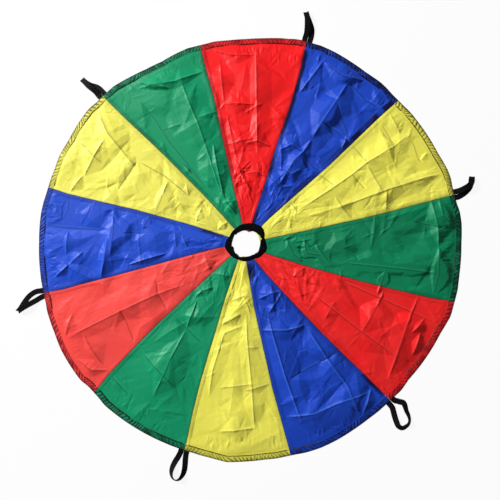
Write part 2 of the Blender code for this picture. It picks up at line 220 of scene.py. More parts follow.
# Creases left by packing: (height, reach to each side, x, y, x, y, ...), with the height and the reach in
# millimetres and the points along the crease in centimetres on the ground. A height below 0 is a valley.
packingCreases = {
    "red_12": [
        (2.5, 35, 2.2, 87, 4, 38.6), (2.5, 30, -2, 57.2, 2.9, 60.1, 6, 61.4),
        (3, 30, -1.6, 43.4, 3.6, 44.8, 10.1, 42.4), (2, 30, -1.2, 30.4, 3.7, 31.1, 8, 29.3),
        (2.5, 30, -14, 83, -11.2, 61.5), (2.5, 25, -9.8, 56.5, -4.8, 35.9),
        (3, 35, -13.5, 58, -11.2, 61.2, 2.3, 61), (3, 35, -10.6, 42.7, 2.7, 46.3),
        (3, 40, -16.9, 85.6, -8.7, 83.1, 1.8, 83.2), (3, 20, -2.8, 30.4, -5.7, 23.5),
        (3, 20, -2.8, 30.4, 1.7, 22.4), (2, 20, -2.8, 30.4, 1.4, 34.2),
    ],
    "blue_1": [
        (5, 45, 42.9, 71.6, 37.8, 62.8, 31.6, 53, 27.5, 46.1),
        (4, 30, 27.5, 46.1, 23.9, 40.2, 20.1, 36.4, 13.6, 25.4), (-4, 35, 31.6, 53.6, 38.7, 49.7, 44.2, 44.8),
        (-4, 30, 23.6, 40.2, 28, 34.1, 32, 32), (-4, 40, 43.2, 71.6, 50, 64.2, 56.7, 60.5),
        (5, 35, 32, 80.9, 37, 76, 40.7, 73.5, 50.5, 72.3), (4, 45, 21.5, 66.3, 27.2, 74, 32, 80.9),
        (-4, 50, 37.8, 62.2, 41, 53.5, 43.9, 46.7), (4, 30, 12.9, 40.6, 18.7, 43.2, 23.6, 40.2),
        (3, 25, 13.4, 33.2, 19, 30.2, 23.2, 32.7), (3, 25, 40.5, 49.1, 42.4, 46.7, 40.6, 41.7),
        (3, 22, 9.3, 28.8, 14.8, 24.5, 19.7, 25.3),
    ],
    "yellow_2": [
        (3.5, 45, 22.4, 14.9, 35.5, 23.7, 45, 30.7, 51.3, 36, 62.9, 43.3, 70.7, 50.2),
        (3.5, 40, 38.6, 15.9, 59.5, 24.2, 77.4, 30.4, 83.3, 31.7), (-4, 35, 45.1, 43.6, 51.6, 36.3),
        (-3, 25, 31.7, 30.4, 37.9, 25.9), (3, 40, 51.3, 35.1, 58.4, 23), (-3, 30, 45.3, 30.7, 51.1, 24.1),
        (-5, 35, 58, 52.5, 62.9, 44.2), (3.2, 38, 61, 58.1, 65.9, 48.9),
        (-4.5, 32, 70.7, 46.5, 73.5, 38, 75.3, 36.2), (3, 28, 77.3, 41.1, 74.4, 37.4),
        (3, 30, 37.9, 21.3, 41, 16.5, 45.3, 11.8), (2, 25, 60.1, 24.3, 59.9, 15.7),
        (3, 20, 18.6, 18.5, 21.8, 14.3),
    ],
    "green_3": [
        (3, 35, 40.8, -7.4, 64.7, -9.2, 81.8, -10.8), (6, 40, 82, 0.8, 82.1, -11.1, 80.1, -20.7),
        (5, 45, 78.6, 21, 81.5, 9, 82, 0.8), (4, 25, 60.5, -9, 56.5, -20.8), (3, 20, 41.5, -10.4, 41, -14),
        (4, 30, 82.2, 21.1, 83.4, 13.8, 88.8, 8.5), (-4, 40, 71.6, 11.2, 84.6, 8.4),
        (3, 20, 25, 3, 26.4, -3.6, 33.6, -4.6), (3, 20, 29.9, 0.7, 33.6, -4.6, 36.7, -8.1),
        (3, 20, 17.2, 2.9, 20.4, -3.7, 25.3, -7.8),
    ],
    "red_4": [
        (3, 40, 28.5, -20.4, 42.4, -30.7, 50.2, -36.4, 63.9, -45.7),
        (-3, 45, 38.6, -14.1, 56.5, -21.4, 68.4, -26.4, 81.9, -32.1),
        (4, 50, 60, -17.7, 55.4, -27.3, 49.6, -37), (3, 45, 74.2, -20.3, 69, -32.8, 64.5, -46.5, 61.6, -56),
        (3, 45, 38.7, -23.7, 34.7, -31.5), (2.5, 30, 77.2, -29.6, 70.8, -36.3),
        (3, 30, 74.9, -35.6, 71.5, -45.7), (-2.5, 25, 81.9, -32.4, 79, -40.2), (3, 22, 25.9, -9.6, 20.6, -14),
    ],
    "blue_5": [
        (3, 40, 10.1, -29.3, 12.7, -38.2, 18.5, -55.8, 24.9, -72.5, 26.1, -75.4),
        (4, 50, 27, -34.8, 36.2, -48.1, 44.7, -58.9, 50.1, -71.5),
        (3, 30, 7.3, -37.2, 18.7, -36.8, 27, -34.2),
        (-4, 40, 19.8, -57.5, 26.8, -53.1, 36.2, -47.8, 40.3, -45),
        (4, 45, 19, -73.3, 31.3, -71.1, 40.1, -66.7, 48.8, -63.5, 54.7, -60.9),
        (3, 25, 10.7, -29.9, 16.5, -20.1), (3, 25, 5.8, -24.1, 11.1, -21.5, 16.5, -20.1),
        (3, 25, 54.7, -59.7, 51.3, -71.5), (-2.2, 14, 4.2, -8.2, 3.2, -14, 3.6, -17.5),
    ],
    "yellow_6": [
        (3, 35, 1.1, -30.2, 2, -42.1, 4.4, -61, 6.1, -79.7),
        (2.5, 24, 0.8, -35, -8.1, -38.9, -12.5, -54.5, -13.9, -66.4), (2.5, 40, -9.8, -62.1, 5.6, -59.8),
        (4, 35, -9.2, -80.3, 6.1, -78.2), (2.5, 35, 1.4, -62.9, 12.1, -59.5), (2, 30, 0.9, -45.1, 7.5, -44.3),
        (3, 18, -5.5, -25, 0.5, -22.4), (3, 18, -9.4, -35.3, -1.1, -30.3),
    ],
    "green_7": [
        (4, 35, -20.1, -24.8, -24.5, -37.6), (4, 45, -24.5, -37.6, -30.2, -49.2, -33.5, -57.6, -38, -67.3),
        (-3.5, 40, -29.6, -32.9, -24.5, -37.3, -17, -43.9), (3, 45, -43.7, -47.8, -33.5, -57.6, -28.5, -62.8),
        (3, 45, -56.7, -58.4, -49, -65.9), (3, 22, -13.8, -13.4, -5.8, -14.7),
        (3, 22, -21.3, -24.2, -18.4, -21.1, -13, -19.2), (-3, 25, -21.6, -33.3, -20.1, -24.8),
    ],
    "red_8": [
        (3, 45, -77.1, -43.8, -69.8, -39.6, -53, -30.6, -37.3, -22.9, -25.2, -18.3),
        (-4, 35, -53.6, -30.1, -50.9, -35.4, -46.9, -44.3), (3, 40, -69.5, -40.2, -65.8, -46.8, -59.9, -54.4),
        (-3, 35, -38.8, -15.7, -37.3, -22.9, -33, -30.3), (4, 25, -74.5, -32.5, -77.2, -42.3),
        (3.5, 25, -71.7, -51.8, -65.4, -56.3, -57.4, -56.4), (3, 20, -18, -4.7, -14.4, -13.2),
        (2, 45, -46.9, 2.5, -45.1, -10.9),
    ],
    "blue_9": [
        (-4.5, 35, -88.3, 5.6, -69.4, 4.5, -60.7, 4.2), (-5, 22, -78.9, 18.9, -78.9, 12.6, -81.5, 7.6),
        (-4, 20, -88.8, 14.9, -84.2, 11.9), (5, 50, -58.6, 14.3, -57.9, 3.8, -58.6, -6.6),
        (5, 45, -60, 2.2, -61.3, -10.1, -62.8, -17.5), (-3, 30, -54.4, 3.3, -43.9, 3.2),
        (4, 25, -42.3, 11, -45.2, 5), (4, 35, -70.8, -5.5, -76.8, -11.2), (4, 25, -82.8, -16.9, -76.8, -11.2),
        (3, 16, -51.3, -10.8, -42.2, -7.8, -33.7, -5.1), (3, 30, -30.9, 4.5, -30, -2.9),
        (3, 25, -27.8, 3, -25.1, -2.5), (3, 35, -78.2, 3.3, -78.3, -7.1),
    ],
    "yellow_10": [
        (5, 42, -67.5, 57.2, -62.6, 47.5, -54.6, 38.1, -50.8, 36),
        (4.5, 46, -63.7, 44.9, -69.5, 33.5, -72.4, 27.8), (-2.2, 26, -48.6, 35.1, -53, 28.1, -57.1, 21.5),
        (5, 30, -72.8, 28.4, -78.4, 20.8), (3, 35, -48.6, 35.1, -36.1, 28.5, -25.3, 20),
        (4, 32, -34.8, 26.6, -37.6, 17.9, -40.4, 11), (3, 22, -26.7, 25.6, -25.3, 20),
        (4, 25, -19.6, 15.2, -21.8, 8.7), (4, 30, -54.6, 38.1, -49.4, 32.6),
        (3, 50, -75.1, 43.5, -64.5, 33.6), (4, 18, -12.5, 5.5, -7.7, 9.3),
    ],
    "green_11": [
        (3.5, 45, -31.5, 73.3, -26.8, 61.9, -22, 51.3, -17.3, 38.8, -11.2, 21.5, -9.9, 18.5),
        (-4, 45, -48.1, 61.6, -42.1, 54.1, -34.8, 43.5, -27.7, 35.5, -17.4, 22.6),
        (4, 22, -15.6, 43.8, -13.4, 33.9, -9.9, 19.1), (4, 30, -49.6, 67.7, -33.3, 70.7, -20.4, 76),
        (4, 22, -50.3, 70.5, -35.7, 67.5), (2.5, 30, -38.8, 49.1, -29.5, 51.8),
        (2.5, 30, -22.8, 54.4, -13.5, 58), (5, 20, -28.9, 34.9, -23.8, 29.3),
        (2.5, 25, -18.5, 38.8, -22.1, 35.6), (4, 20, -9.9, 18.5, -4.2, 12.5),
        (3, 18, -10.4, 17.2, -3.7, 18.6),
    ],
}
relief = {
    # the main folds that the cloth keeps everywhere: shares of the distance from the vent
    "billows": [0.013, 0.017, 0.013, 0.021, 0.018, 0.018, 0.016, 0.013, 0.015, 0.012, 0.016, 0.014],
    "billowKept": 0.8,
    "middleCreases": [
        0.004, -0.005, 0.005, -0.004, 0.005, -0.005, 0.004, 0.005, -0.004, 0.005, -0.005, 0.004,
    ],
    "crossPhases": [0.1, 0.55, 0.3, 0.8, 0.0, 0.45, 0.7, 0.2, 0.6, 0.9, 0.35, 0.75],
    "crossShare": 0.45,
    "crossCount": 2.5,
    "hemPower": 6,
    "creaseScale": 2.9,
    "creaseReach": 1.9,
    # the sharp edge on top of a crease: its share of the height, and its width
    "creaseEdge": 0.22,
    "creaseNear": 0.003,
    # a crease fades over this share of its length at each end, but over no more than this many metres
    "creaseEnds": (0.42, 0.11),
    # a crease is no wider than this share of its length, and narrower on one side
    "creaseWidest": 0.4,
    "creaseLop": (0.4, 1.0),
    # the painted shade line along a crease: how dark and how wide, and the painted highlight line beside it:
    # how far away and how wide
    "creaseShadeLine": (0.6, 0.0023),
    "creaseLight": (0.0048, 0.0026),
    # (cell or pitch, height)
    "softWave": (0.19, 0.003),
    "crumples": [(0.15, 0.0016), (0.031, 0.00015)],
    "crumpleWays": 5,
    # the lowest level of the top side and how softly it is reached
    "ground": (0.0008, 0.0014),
    # over the sewn strip of a seam: level, half width and ease
    "groundAtSeam": (0.0021, 0.0095, 0.008),
    # the level past which folds are lower, and the share of the rest that they keep
    "highest": (0.021, 0.35),
    # creases ease in from the vent, the hem and the seams: (least share, ease)
    "easeFromVent": 0.022,
    "calmAtHem": (0.35, 0.03),
    "calmAtSeam": (0.45, 0.025),
    # (depth, ease)
    "sinkAtHem": (0.0011, 0.014),
    # for each gore: the strength of its packing creases, their painted highlight lines and its short creases
    "goreCreases": [1.05, 1.45, 0.95, 1.5, 1.5, 1.35, 0.85, 0.85, 0.75, 1.1, 1.0, 0.9],
    "goreLights": [0.3, 0.3, 0.5, 0.45, 0.35, 0.5, 0.55, 0.4, 0.3, 0.3, 0.45, 0.35],
    "goreScatter": [0.85, 1.15, 0.75, 1.25, 0.8, 1.05, 0.7, 0.7, 0.35, 0.9, 0.7, 0.5],
}
# Short creases, made at random, and puckers across the seams, where the sewing draws the cloth in. A reach is
# a share of the length, a slope a height over a reach. The spread is how far a crease turns from straight
# outwards, in radians, at the inner and the outer radius, and how far a pucker turns from straight across.
creaseKinds = ("seed", "count", "radii", "length", "reach", "slope", "spread", "edge")
scatters = [
    (7, 330, (0.16, 0.87), (0.07, 0.22), (0.14, 0.3), (0.06, 0.17), (0.5, 2.0), 0.12),
    (15, 520, (0.1, 0.87), (0.03, 0.1), (0.06, 0.13), (0.06, 0.22), (0.4, 1.6), 0.3),
    (21, 190, (0.1, 0.34), (0.045, 0.14), (0.12, 0.24), (0.1, 0.26), (0.12, 0.8), 0.14),
    (27, 170, (0.1, 0.4), (0.02, 0.075), (0.07, 0.12), (0.16, 0.34), (0.5, 1.3), 0.3),
    (33, 560, (0.825, 0.885), (0.018, 0.06), (0.1, 0.2), (0.09, 0.3), (0.2, 0.35), 0.3),
]
seamPuckers = {
    "seed": 45, "perSeam": 52, "radii": (0.12, 0.87), "beside": (0.004, 0.022), "length": (0.012, 0.034),
    "reach": (0.12, 0.22), "slope": (0.1, 0.32), "spread": 0.35, "edge": 0.3,
}
seams = {
    "grooveWidth": 0.003,
    "grooveDepth": 0.0006,
    "allowance": 0.0165,
    "wider": {(1, 0): 0.0255},
    "ridge": 0.0009,
    "ridgeStart": 0.004,
    "ridgeSoft": 0.003,
    # the dark lines at the join and at the allowance's edge: width
    "joinLine": 0.0014,
    "edgeLine": 0.0012,
    # how dark the sewn-in allowance shows through each gore: (at its clockwise seam, at its other seam)
    "shows": [
        (0.15, 0.5), (0.6, 1.1), (0.4, 0.12), (0.2, 0.3), (0.3, 0.15), (0.35, 0.4),
        (0.5, 0.25), (0.2, 0.15), (0.15, 0.2), (0.3, 0.35), (0.25, 0.12), (0.4, 0.45),
    ],
    # where it shows more, partly as painted shade of folds beside the seam: (gore, side, from and to radius,
    # how much)
    "patches": [
        (1, 0, 0.835, 0.9, 1.1), (1, 0, 0.65, 0.8, 0.75), (1, 0, 0.3, 0.6, 0.15), (1, 1, 0.8, 0.89, 0.7),
        (1, 1, 0.5, 0.62, 0.4), (5, 0, 0.09, 0.16, 0.9), (5, 1, 0.74, 0.86, 0.5), (0, 0, 0.09, 0.14, 0.3),
        (9, 0, 0.1, 0.2, 0.5), (0, 1, 0.27, 0.56, 0.3), (3, 0, 0.7, 0.87, 0.3),
    ],
    # wide dark places beside a seam, painted shade of the folds there: (gore, side, from and to radius,
    # width, how dark)
    "folded": [(5, 0, 0.085, 0.15, 0.038, 0.85), (7, 1, 0.1, 0.16, 0.02, 0.35)],
}
vent = {
    "cutRadius": 0.0632,
    # the tape as it lies gathered: (degrees, inner radius, outer radius) in millimetres
    "outline": [
        (0, 62, 91), (18, 64, 86), (38, 66, 99), (50, 63, 102), (60, 61, 97), (73, 53, 94), (89, 55, 88),
        (107, 56, 85), (124, 55, 80), (141, 61, 79), (158, 58, 78), (170, 58, 85), (191, 61, 95),
        (208, 57, 88), (229, 62, 83), (247, 63, 79), (271, 57, 79), (302, 57, 78), (316, 62, 86),
        (328, 65, 90), (343, 61, 98),
    ],
}


def shortCrease(draws, radius, theta, turn, kind):
    length = draws.uniform(*kind["length"])
    reach = length * draws.uniform(*kind["reach"])
    strength = relief["goreScatter"][round(3 - math.degrees(theta) / 30) % goreCount]
    height = strength * reach * draws.uniform(*kind["slope"]) * draws.choice((-1, 1))
    bend = draws.normal(0, 0.15)
    points = []
    for share in (-0.5, 0.0, 0.5):
        way = turn + bend * share
        points.append((radius * math.cos(theta) + share * length * math.cos(way),
                       radius * math.sin(theta) + share * length * math.sin(way)))
    return np.array(points), height, reach, draws.uniform(*relief["creaseLop"]), kind["edge"], None


def allCreases():
    # (path, height, reach, narrower side's share, edge's share, how strong its painted shade and painted
    # highlight lines are)
    rows = []
    draws = np.random.default_rng(3)
    for creases, strength, light in zip(packingCreases.values(), relief["goreCreases"], relief["goreLights"]):
        for height, reach, *path in creases:
            path = np.reshape(path, (-1, 2)) / 100
            length = np.linalg.norm(np.diff(path, axis=0), axis=1).sum()
            wide = relief["creaseReach"] * reach / 1000
            kept = min(1.0, relief["creaseWidest"] * length / wide)
            high = relief["creaseScale"] * strength * height / 1000 * kept
            lop = draws.uniform(*relief["creaseLop"])
            light *= draws.uniform(0.8, 1.15)
            shows = (relief["creaseShadeLine"][0], light)
            rows.append((path, high, wide * kept, lop, relief["creaseEdge"], shows))
    for kind in (dict(zip(creaseKinds, row)) for row in scatters):
        draws = np.random.default_rng(kind["seed"])
        inner, outer = kind["radii"]
        for _ in range(kind["count"]):
            share = draws.uniform() ** 0.8
            radius, theta = inner + (outer - inner) * share, draws.uniform(0, 2 * math.pi)
            spread = np.interp(share, (0, 1), kind["spread"])
            rows.append(shortCrease(draws, radius, theta, theta + draws.normal(0, spread), kind))
    kind = seamPuckers
    draws = np.random.default_rng(kind["seed"])
    for seam in range(goreCount):
        for _ in range(kind["perSeam"]):
            radius, side = draws.uniform(*kind["radii"]), draws.choice((-1, 1))
            theta = float(bowed(radius, seamAngle(seam) + side * draws.uniform(*kind["beside"]) / radius))
            turn = theta + math.pi / 2 + draws.normal(0, kind["spread"])
            rows.append(shortCrease(draws, radius, theta, turn, kind))
    return rows


creaseRows = allCreases()


def creaseField(x, y):
    # The height of all creases, and how strong the painted shade lines and the painted highlight lines along
    # the packing creases are. The painted highlight lies beside the painted shade line, on the upper left
    # side, towards the lamp.
    total, lines, lights = np.zeros_like(x), np.zeros_like(x), np.zeros_like(x)
    low, high = np.array([x.min(), y.min()]), np.array([x.max(), y.max()])
    endShare, endLength = relief["creaseEnds"]
    highlightAway, highlightWidth = relief["creaseLight"]
    for path, height, wide, lop, edge, shows in creaseRows:
        near, far = path.min(axis=0) - wide, path.max(axis=0) + wide
        if (high < near).any() or (low > far).any():
            continue
        inside = np.nonzero((x > near[0]) & (x < far[0]) & (y > near[1]) & (y < far[1]))
        u, v = x[inside], y[inside]
        best, place, side, lit, gone = np.full_like(u, 1.0), np.zeros_like(u), np.zeros_like(u), u < 0, 0.0
        for p, q in zip(path, path[1:]):
            step = q - p
            length = math.hypot(*step)
            share = np.clip(((u - p[0]) * step[0] + (v - p[1]) * step[1]) / length**2, 0, 1)
            away = np.hypot(u - p[0] - share * step[0], v - p[1] - share * step[1])
            closer = away < best
            place = np.where(closer, gone + share * length, place)
            side = np.where(closer, step[0] * (v - p[1]) - step[1] * (u - p[0]), side)
            # the painted highlight goes on the side of the crease that faces the upper left, towards the lamp
            lit = np.where(closer, side * (step[0] + step[1]) > 0, lit)
            best = np.minimum(best, away)
            gone += length
        fromEnd = np.minimum(place, gone - place)
        ends = np.clip(fromEnd / min(endShare * gone, endLength), 0, 1)
        slope = np.clip(ends - best / np.where(side > 0, wide, lop * wide), 0, 1)
        sharp = smoothStep(fromEnd / (0.16 * gone))
        total[inside] += height * (slope + sharp * edge * np.exp(-best / relief["creaseNear"]))
        if shows:
            dark, light = shows
            # painted shade: a dark line along the crease's fold
            line = dark * sharp * ridge(best, relief["creaseShadeLine"][1])
            lines[inside] = np.maximum(lines[inside], line)
            # painted highlight: a light line beside the crease, on its lit side
            line = light * sharp * lit * ridge(best - highlightAway, highlightWidth)
            lights[inside] = np.maximum(lights[inside], line)
    return total, lines, lights


def ventOutline(theta):
    degrees, *edges = zip(*vent["outline"])
    return [np.interp(np.degrees(theta) % 360, degrees, edge, period=360) / 1000 for edge in edges]


def billow(index, radius, along, across):
    k = index % goreCount
    lift = np.sin(np.pi * np.clip(across, 0, 1)) ** 2
    crossFold = np.cos(2 * np.pi * (relief["crossCount"] * along + relief["crossPhases"][k]))
    wave = relief["billows"][k] * (1 + relief["crossShare"] * crossFold)
    crease = relief["middleCreases"][k] * (1 - np.abs(2 * across - 1))
    fall = 1 - np.clip(along, 0, 1) ** relief["hemPower"]
    wide = relief["billowKept"] * np.clip(radius - canopy["seamStart"], 0, None)
    return wide * lift * (wave + crease) * fall


def allowanceReach(index, side):
    return seams["wider"].get((index % goreCount, side), seams["allowance"])


def canopyTop(index, radius, theta):
    # Height of the cloth's top side: folds, creases and crumples, held down at seams, vent and hem
    laid = bowed(radius, theta)
    x, y = radius * np.cos(laid), radius * np.sin(laid)
    low, high = seamAngle(index), seamAngle(index - 1)
    start, hemInner = canopy["seamStart"], rimAt(index, theta) - hemWidth
    held = smoothStep((radius - ventOutline(theta)[1]) / relief["easeFromVent"])
    fromHem = hemInner - radius
    least, ease = relief["calmAtHem"]
    fine = creaseField(x, y)[0] * (least + (1 - least) * smoothStep(fromHem / ease))
    cell, tall = relief["softWave"]
    fine += tall * latticeNoise(x, y, cell, 3)
    for pitch, tall in relief["crumples"]:
        fine += tall * crumple(x, y, pitch, int(pitch * 10000))
    along, across = (radius - start) / (hemInner - start), (theta - low) / (high - low)
    height = billow(index, radius, along, across) + held * fine
    # the cloth lies flat beside the seams and sinks to the ground just inside the hem
    deep, ease = relief["sinkAtHem"]
    sink = deep * (1 - smoothStep(fromHem / ease)) * held
    ground, soft = relief["ground"]
    least, ease = relief["calmAtSeam"]
    seamGround, flatHalf, slope = relief["groundAtSeam"]
    for side, away in enumerate(seamDistances(index, radius, theta)):
        shows = seams["shows"][index % goreCount][side]
        height *= least + (1 - least) * smoothStep(away / ease)
        height -= seams["grooveDepth"] * ridge(away, seams["grooveWidth"]) * held
        tall = seams["ridge"] * (0.35 if shows > 0.8 else 0.4 + 0.6 * min(1.0, 2 * shows))
        reach = allowanceReach(index, side)
        height += tall * held * band(away, seams["ridgeStart"], reach, seams["ridgeSoft"])
        ground = np.maximum(ground, seamGround * (1 - smoothStep((away - flatHalf) / slope)))
    over = canopy["seamLevel"] + height - sink - ground
    top = ground + (over + np.sqrt(over**2 + soft**2)) / 2
    level, kept = relief["highest"]
    top = np.where(top > level, level + kept * (top - level), top)
    return np.minimum(top, canopy["foldLevel"] + canopy["foldSlope"] * fromFoldLine(x, y))


class Wire:
    # A socket, so that shader maths reads as plain sums
    def __init__(self, tree, socket):
        self.tree = tree
        self.socket = socket

    def work(self, operation, *values):
        return self.tree.node("ShaderNodeMath", {"operation": operation}, dict(enumerate(values)))

    def __add__(self, other):
        return self.work("ADD", self, other)

    def __radd__(self, other):
        return self.work("ADD", other, self)

    def __sub__(self, other):
        return self.work("SUBTRACT", self, other)

    def __rsub__(self, other):
        return self.work("SUBTRACT", other, self)

    def __mul__(self, other):
        return self.work("MULTIPLY", self, other)

    def __rmul__(self, other):
        return self.work("MULTIPLY", other, self)

    def clamped(self):
        return self.tree.node("ShaderNodeClamp", {}, {0: self})


class Tree:
    # A node tree, built node by node
    def __init__(self, tree):
        self.tree = tree
        tree.nodes.clear()

    def node(self, kind, settings, inputs, output=0):
        made = self.tree.nodes.new(kind)
        for key, value in settings.items():
            setattr(made, key, value)
        for key, value in inputs.items():
            if isinstance(value, Wire):
                self.tree.links.new(value.socket, made.inputs[key])
            else:
                made.inputs[key].default_value = value
        if isinstance(output, tuple):
            return [Wire(self, made.outputs[key]) for key in output]
        return Wire(self, made.outputs[output]) if made.outputs else None


class Finish(Tree):
    # The material of a piece
    def __init__(self, name):
        self.material = bpy.data.materials.new(name)
        self.material.use_nodes = True
        super().__init__(self.material.node_tree)
        self.place = self.node("ShaderNodeTexCoord", {}, {}, "Object")

    def noise(self, scale, detail, roughness=0.5):
        inputs = {"Vector": self.place, "Scale": scale, "Detail": detail, "Roughness": roughness}
        return self.node("ShaderNodeTexNoise", {}, inputs)

    def mix(self, factor, a, b):
        a, b = ((*c, 1.0) if isinstance(c, tuple) else c for c in (a, b))
        return self.node("ShaderNodeMix", {"data_type": "RGBA"}, {0: factor, 6: a, 7: b}, 2)

    def value(self, name):
        return self.node("ShaderNodeAttribute", {"attribute_name": name}, {}, 2)

    def wave(self, uvName, axis, pitch):
        flat = self.node("ShaderNodeUVMap", {"uv_map": uvName}, {})
        run = self.node("ShaderNodeSeparateXYZ", {}, {0: flat}, axis)
        return run.work("SINE", run * (2 * math.pi / pitch))

    def bump(self, height, distance, **under):
        inputs = {"Height": height, "Distance": distance, "Strength": 1.0, **under}
        return self.node("ShaderNodeBump", {}, inputs)

    def surface(self, **inputs):
        named = {key.replace("_", " "): value for key, value in inputs.items()}
        shader = self.node("ShaderNodeBsdfPrincipled", {}, named)
        self.node("ShaderNodeOutputMaterial", {}, {0: shader})
        return self.material


# Linear colours: "allowance" where the sewn-in allowance shows through, and also painted shade on whole
# gores, beside some seams and in the hem's pucker valleys; "line" on thin dark lines, among them painted
# shade lines along creases; "light" for painted highlights beside creases. The paler colour is for tone that
# varies at random and for painted sheen on whole gores.
taffetas = {
    "red": {
        "colour": (0.95, 0.012, 0.014), "pale": (0.93, 0.092, 0.078), "allowance": (0.30, 0.004, 0.008),
        "light": (0.95, 0.1, 0.08), "line": (0.09, 0.001, 0.002),
    },
    "blue": {
        "colour": (0.012, 0.068, 0.58), "pale": (0.03, 0.11, 0.60), "allowance": (0.0006, 0.004, 0.055),
        "light": (0.06, 0.2, 0.78), "line": (0.0003, 0.001, 0.011),
    },
    "yellow": {
        "colour": (0.90, 0.84, 0.09), "pale": (0.80, 0.76, 0.18), "allowance": (0.46, 0.44, 0.05),
        "light": (0.95, 0.92, 0.24), "line": (0.075, 0.062, 0.003),
    },
    "green": {
        "colour": (0.002, 0.285, 0.115), "pale": (0.012, 0.32, 0.16), "allowance": (0.0008, 0.045, 0.024),
        "light": (0.03, 0.43, 0.22), "line": (0.0003, 0.014, 0.008),
    },
    # how uneven each of them is: lowest strength, its spread, scale and detail of the noise
    "spread": {"allowance": (0.75, 0.5, 34, 2), "light": (0.4, 1.2, 26, 2), "line": (0.6, 0.6, 70, 1)},
    # painted sheen and painted shade on each gore: how pale and how dark it is
    "paintedSheens": [0, 0, 0.2, 0, 0.1, 0, 0.2, 0.35, 0.75, 0.1, 0.3, 0.1],
    "paintedShades": [0, 0.1, 0, 0.3, 0.06, 0.16, 0, 0, 0, 0, 0.02, 0],
    "roughness": 0.43,
    "specular": 0.21,
    "threadPitch": 0.0011,
    "weaveHeight": 0.00003,
    "crinkle": (95, 3, 0.6),
    "crinkleHeight": 0.0005,
}
# Ribs are (UV axis, pitch, share of the height), a grain is a noise's scale and detail
blacks = {
    "webbing": {
        "name": "webbing_black", "colour": (0.0014, 0.0013, 0.0022), "worn": (0.005, 0.0048, 0.0065),
        "wear": 0.5, "wearGrain": (120, 3), "ribs": [(0, 0.0016, 0.6), (1, 0.004, 0.4)],
        "height": 0.00025, "roughness": 0.6, "specular": 0.1,
    },
    "tape": {
        "name": "tape_black", "colour": (0.001, 0.0009, 0.0014), "worn": (0.0035, 0.0035, 0.005),
        "wear": 0.5, "wearGrain": (60, 3), "ribs": [(0, 0.0013, 1)], "grain": (300, 3),
        "height": 0.00015, "roughness": 0.7, "specular": 0.05,
    },
    "thread": {
        "name": "thread_dark", "colour": (0.010, 0.012, 0.022), "worn": (0.02, 0.022, 0.035),
        "wear": 0.4, "wearGrain": (900, 1), "ribs": [], "grain": (900, 1),
        "height": 0.0001, "roughness": 0.7, "specular": 0.1, "light": (0.8, 0.8, 0.74), "lightShare": 0.3,
    },
}


def makeTaffeta(name):
    look = taffetas[name]
    finish = Finish("taffeta_" + name)
    # a paler tone that varies at random, and painted sheen where a whole gore is made paler
    paleness = finish.value("pale") + (finish.noise(9, 3) - 0.5) * 0.3
    tone = finish.mix(paleness.clamped(), look["colour"], look["pale"])
    strengths = {}
    for key, (lowest, spread, scale, detail) in taffetas["spread"].items():
        strengths[key] = (finish.value(key) * (lowest + spread * finish.noise(scale, detail))).clamped()
        tone = finish.mix(strengths[key], tone, look[key])
    pitch = taffetas["threadPitch"]
    weave = finish.wave("cloth", 0, pitch) * finish.wave("cloth", 1, pitch)
    normal = finish.bump(weave, taffetas["weaveHeight"])
    normal = finish.bump(finish.noise(*taffetas["crinkle"]), taffetas["crinkleHeight"], Normal=normal)
    roughness = taffetas["roughness"] + 0.1 * (finish.noise(22, 2) - 0.5) + 0.35 * strengths["allowance"]
    return finish.surface(
        Base_Color=tone, Roughness=roughness, Normal=normal, Specular_IOR_Level=taffetas["specular"])


def makeBlack(look):
    finish = Finish(look["name"])
    height = sum(finish.wave("strap", axis, pitch) * share for axis, pitch, share in look["ribs"])
    if "grain" in look:
        height = height + finish.noise(*look["grain"])
    tone = finish.mix(finish.noise(*look["wearGrain"]) * look["wear"], look["colour"], look["worn"])
    if "light" in look:
        tone = finish.mix(finish.value("light") * look["lightShare"], tone, look["light"])
    normal = finish.bump(height, look["height"])
    return finish.surface(
        Base_Color=tone, Roughness=look["roughness"], Normal=normal, Specular_IOR_Level=look["specular"])


taffeta = {name: makeTaffeta(name) for name in canopy["colours"]}
webbing, tape, thread = (makeBlack(look) for look in blacks.values())
print("materials made")


def linked(name, data):
    # A new object in the scene
    made = bpy.data.objects.new(name, data)
    bpy.context.scene.collection.objects.link(made)
    return made


def cornersOf(mesh):
    corners = np.empty(len(mesh.loops), dtype=np.int32)
    mesh.loops.foreach_get("vertex_index", corners)
    return corners


def makePiece(name, points, faces, material, uv=None, values=None, sharp=50):
    mesh = bpy.data.meshes.new(name)
    mesh.from_pydata(points, [], faces)
    mesh.materials.append(material)
    if uv is not None:
        uvName, flat = uv
        flat = np.asarray(flat, dtype=np.float32)[cornersOf(mesh)]
        mesh.uv_layers.new(name=uvName).data.foreach_set("uv", flat.ravel())
    for key, array in (values or {}).items():
        kept = mesh.attributes.new(key, "FLOAT", "POINT")
        kept.data.foreach_set("value", np.asarray(array, dtype=np.float32).ravel())
    mesh.shade_smooth()
    mesh.set_sharp_from_angle(angle=math.radians(sharp))
    return linked(name, mesh)


def gridQuads(index):
    return np.stack([index[:-1, :-1], index[1:, :-1], index[1:, 1:], index[:-1, 1:]], axis=-1).reshape(-1, 4)


def gridEdge(index):
    return np.concatenate([index[:, 0], index[-1, 1:], index[-2::-1, -1], index[0, -2:0:-1]])


def tubeFaces(count, around, base=0, turned=False):
    # The sides and ends of a tube of rings
    index = base + np.arange(count * around).reshape(count, around)
    a, b = index[:-1], index[1:]
    quads = np.stack([a, b, np.roll(b, -1, 1), np.roll(a, -1, 1)], axis=-1).reshape(-1, 4)
    ends = [index[0], index[-1][::-1]]
    if turned:
        quads, ends = quads[:, [0, 3, 2, 1]], [end[::-1] for end in ends]
    return [*quads.tolist(), *(end.tolist() for end in ends)]


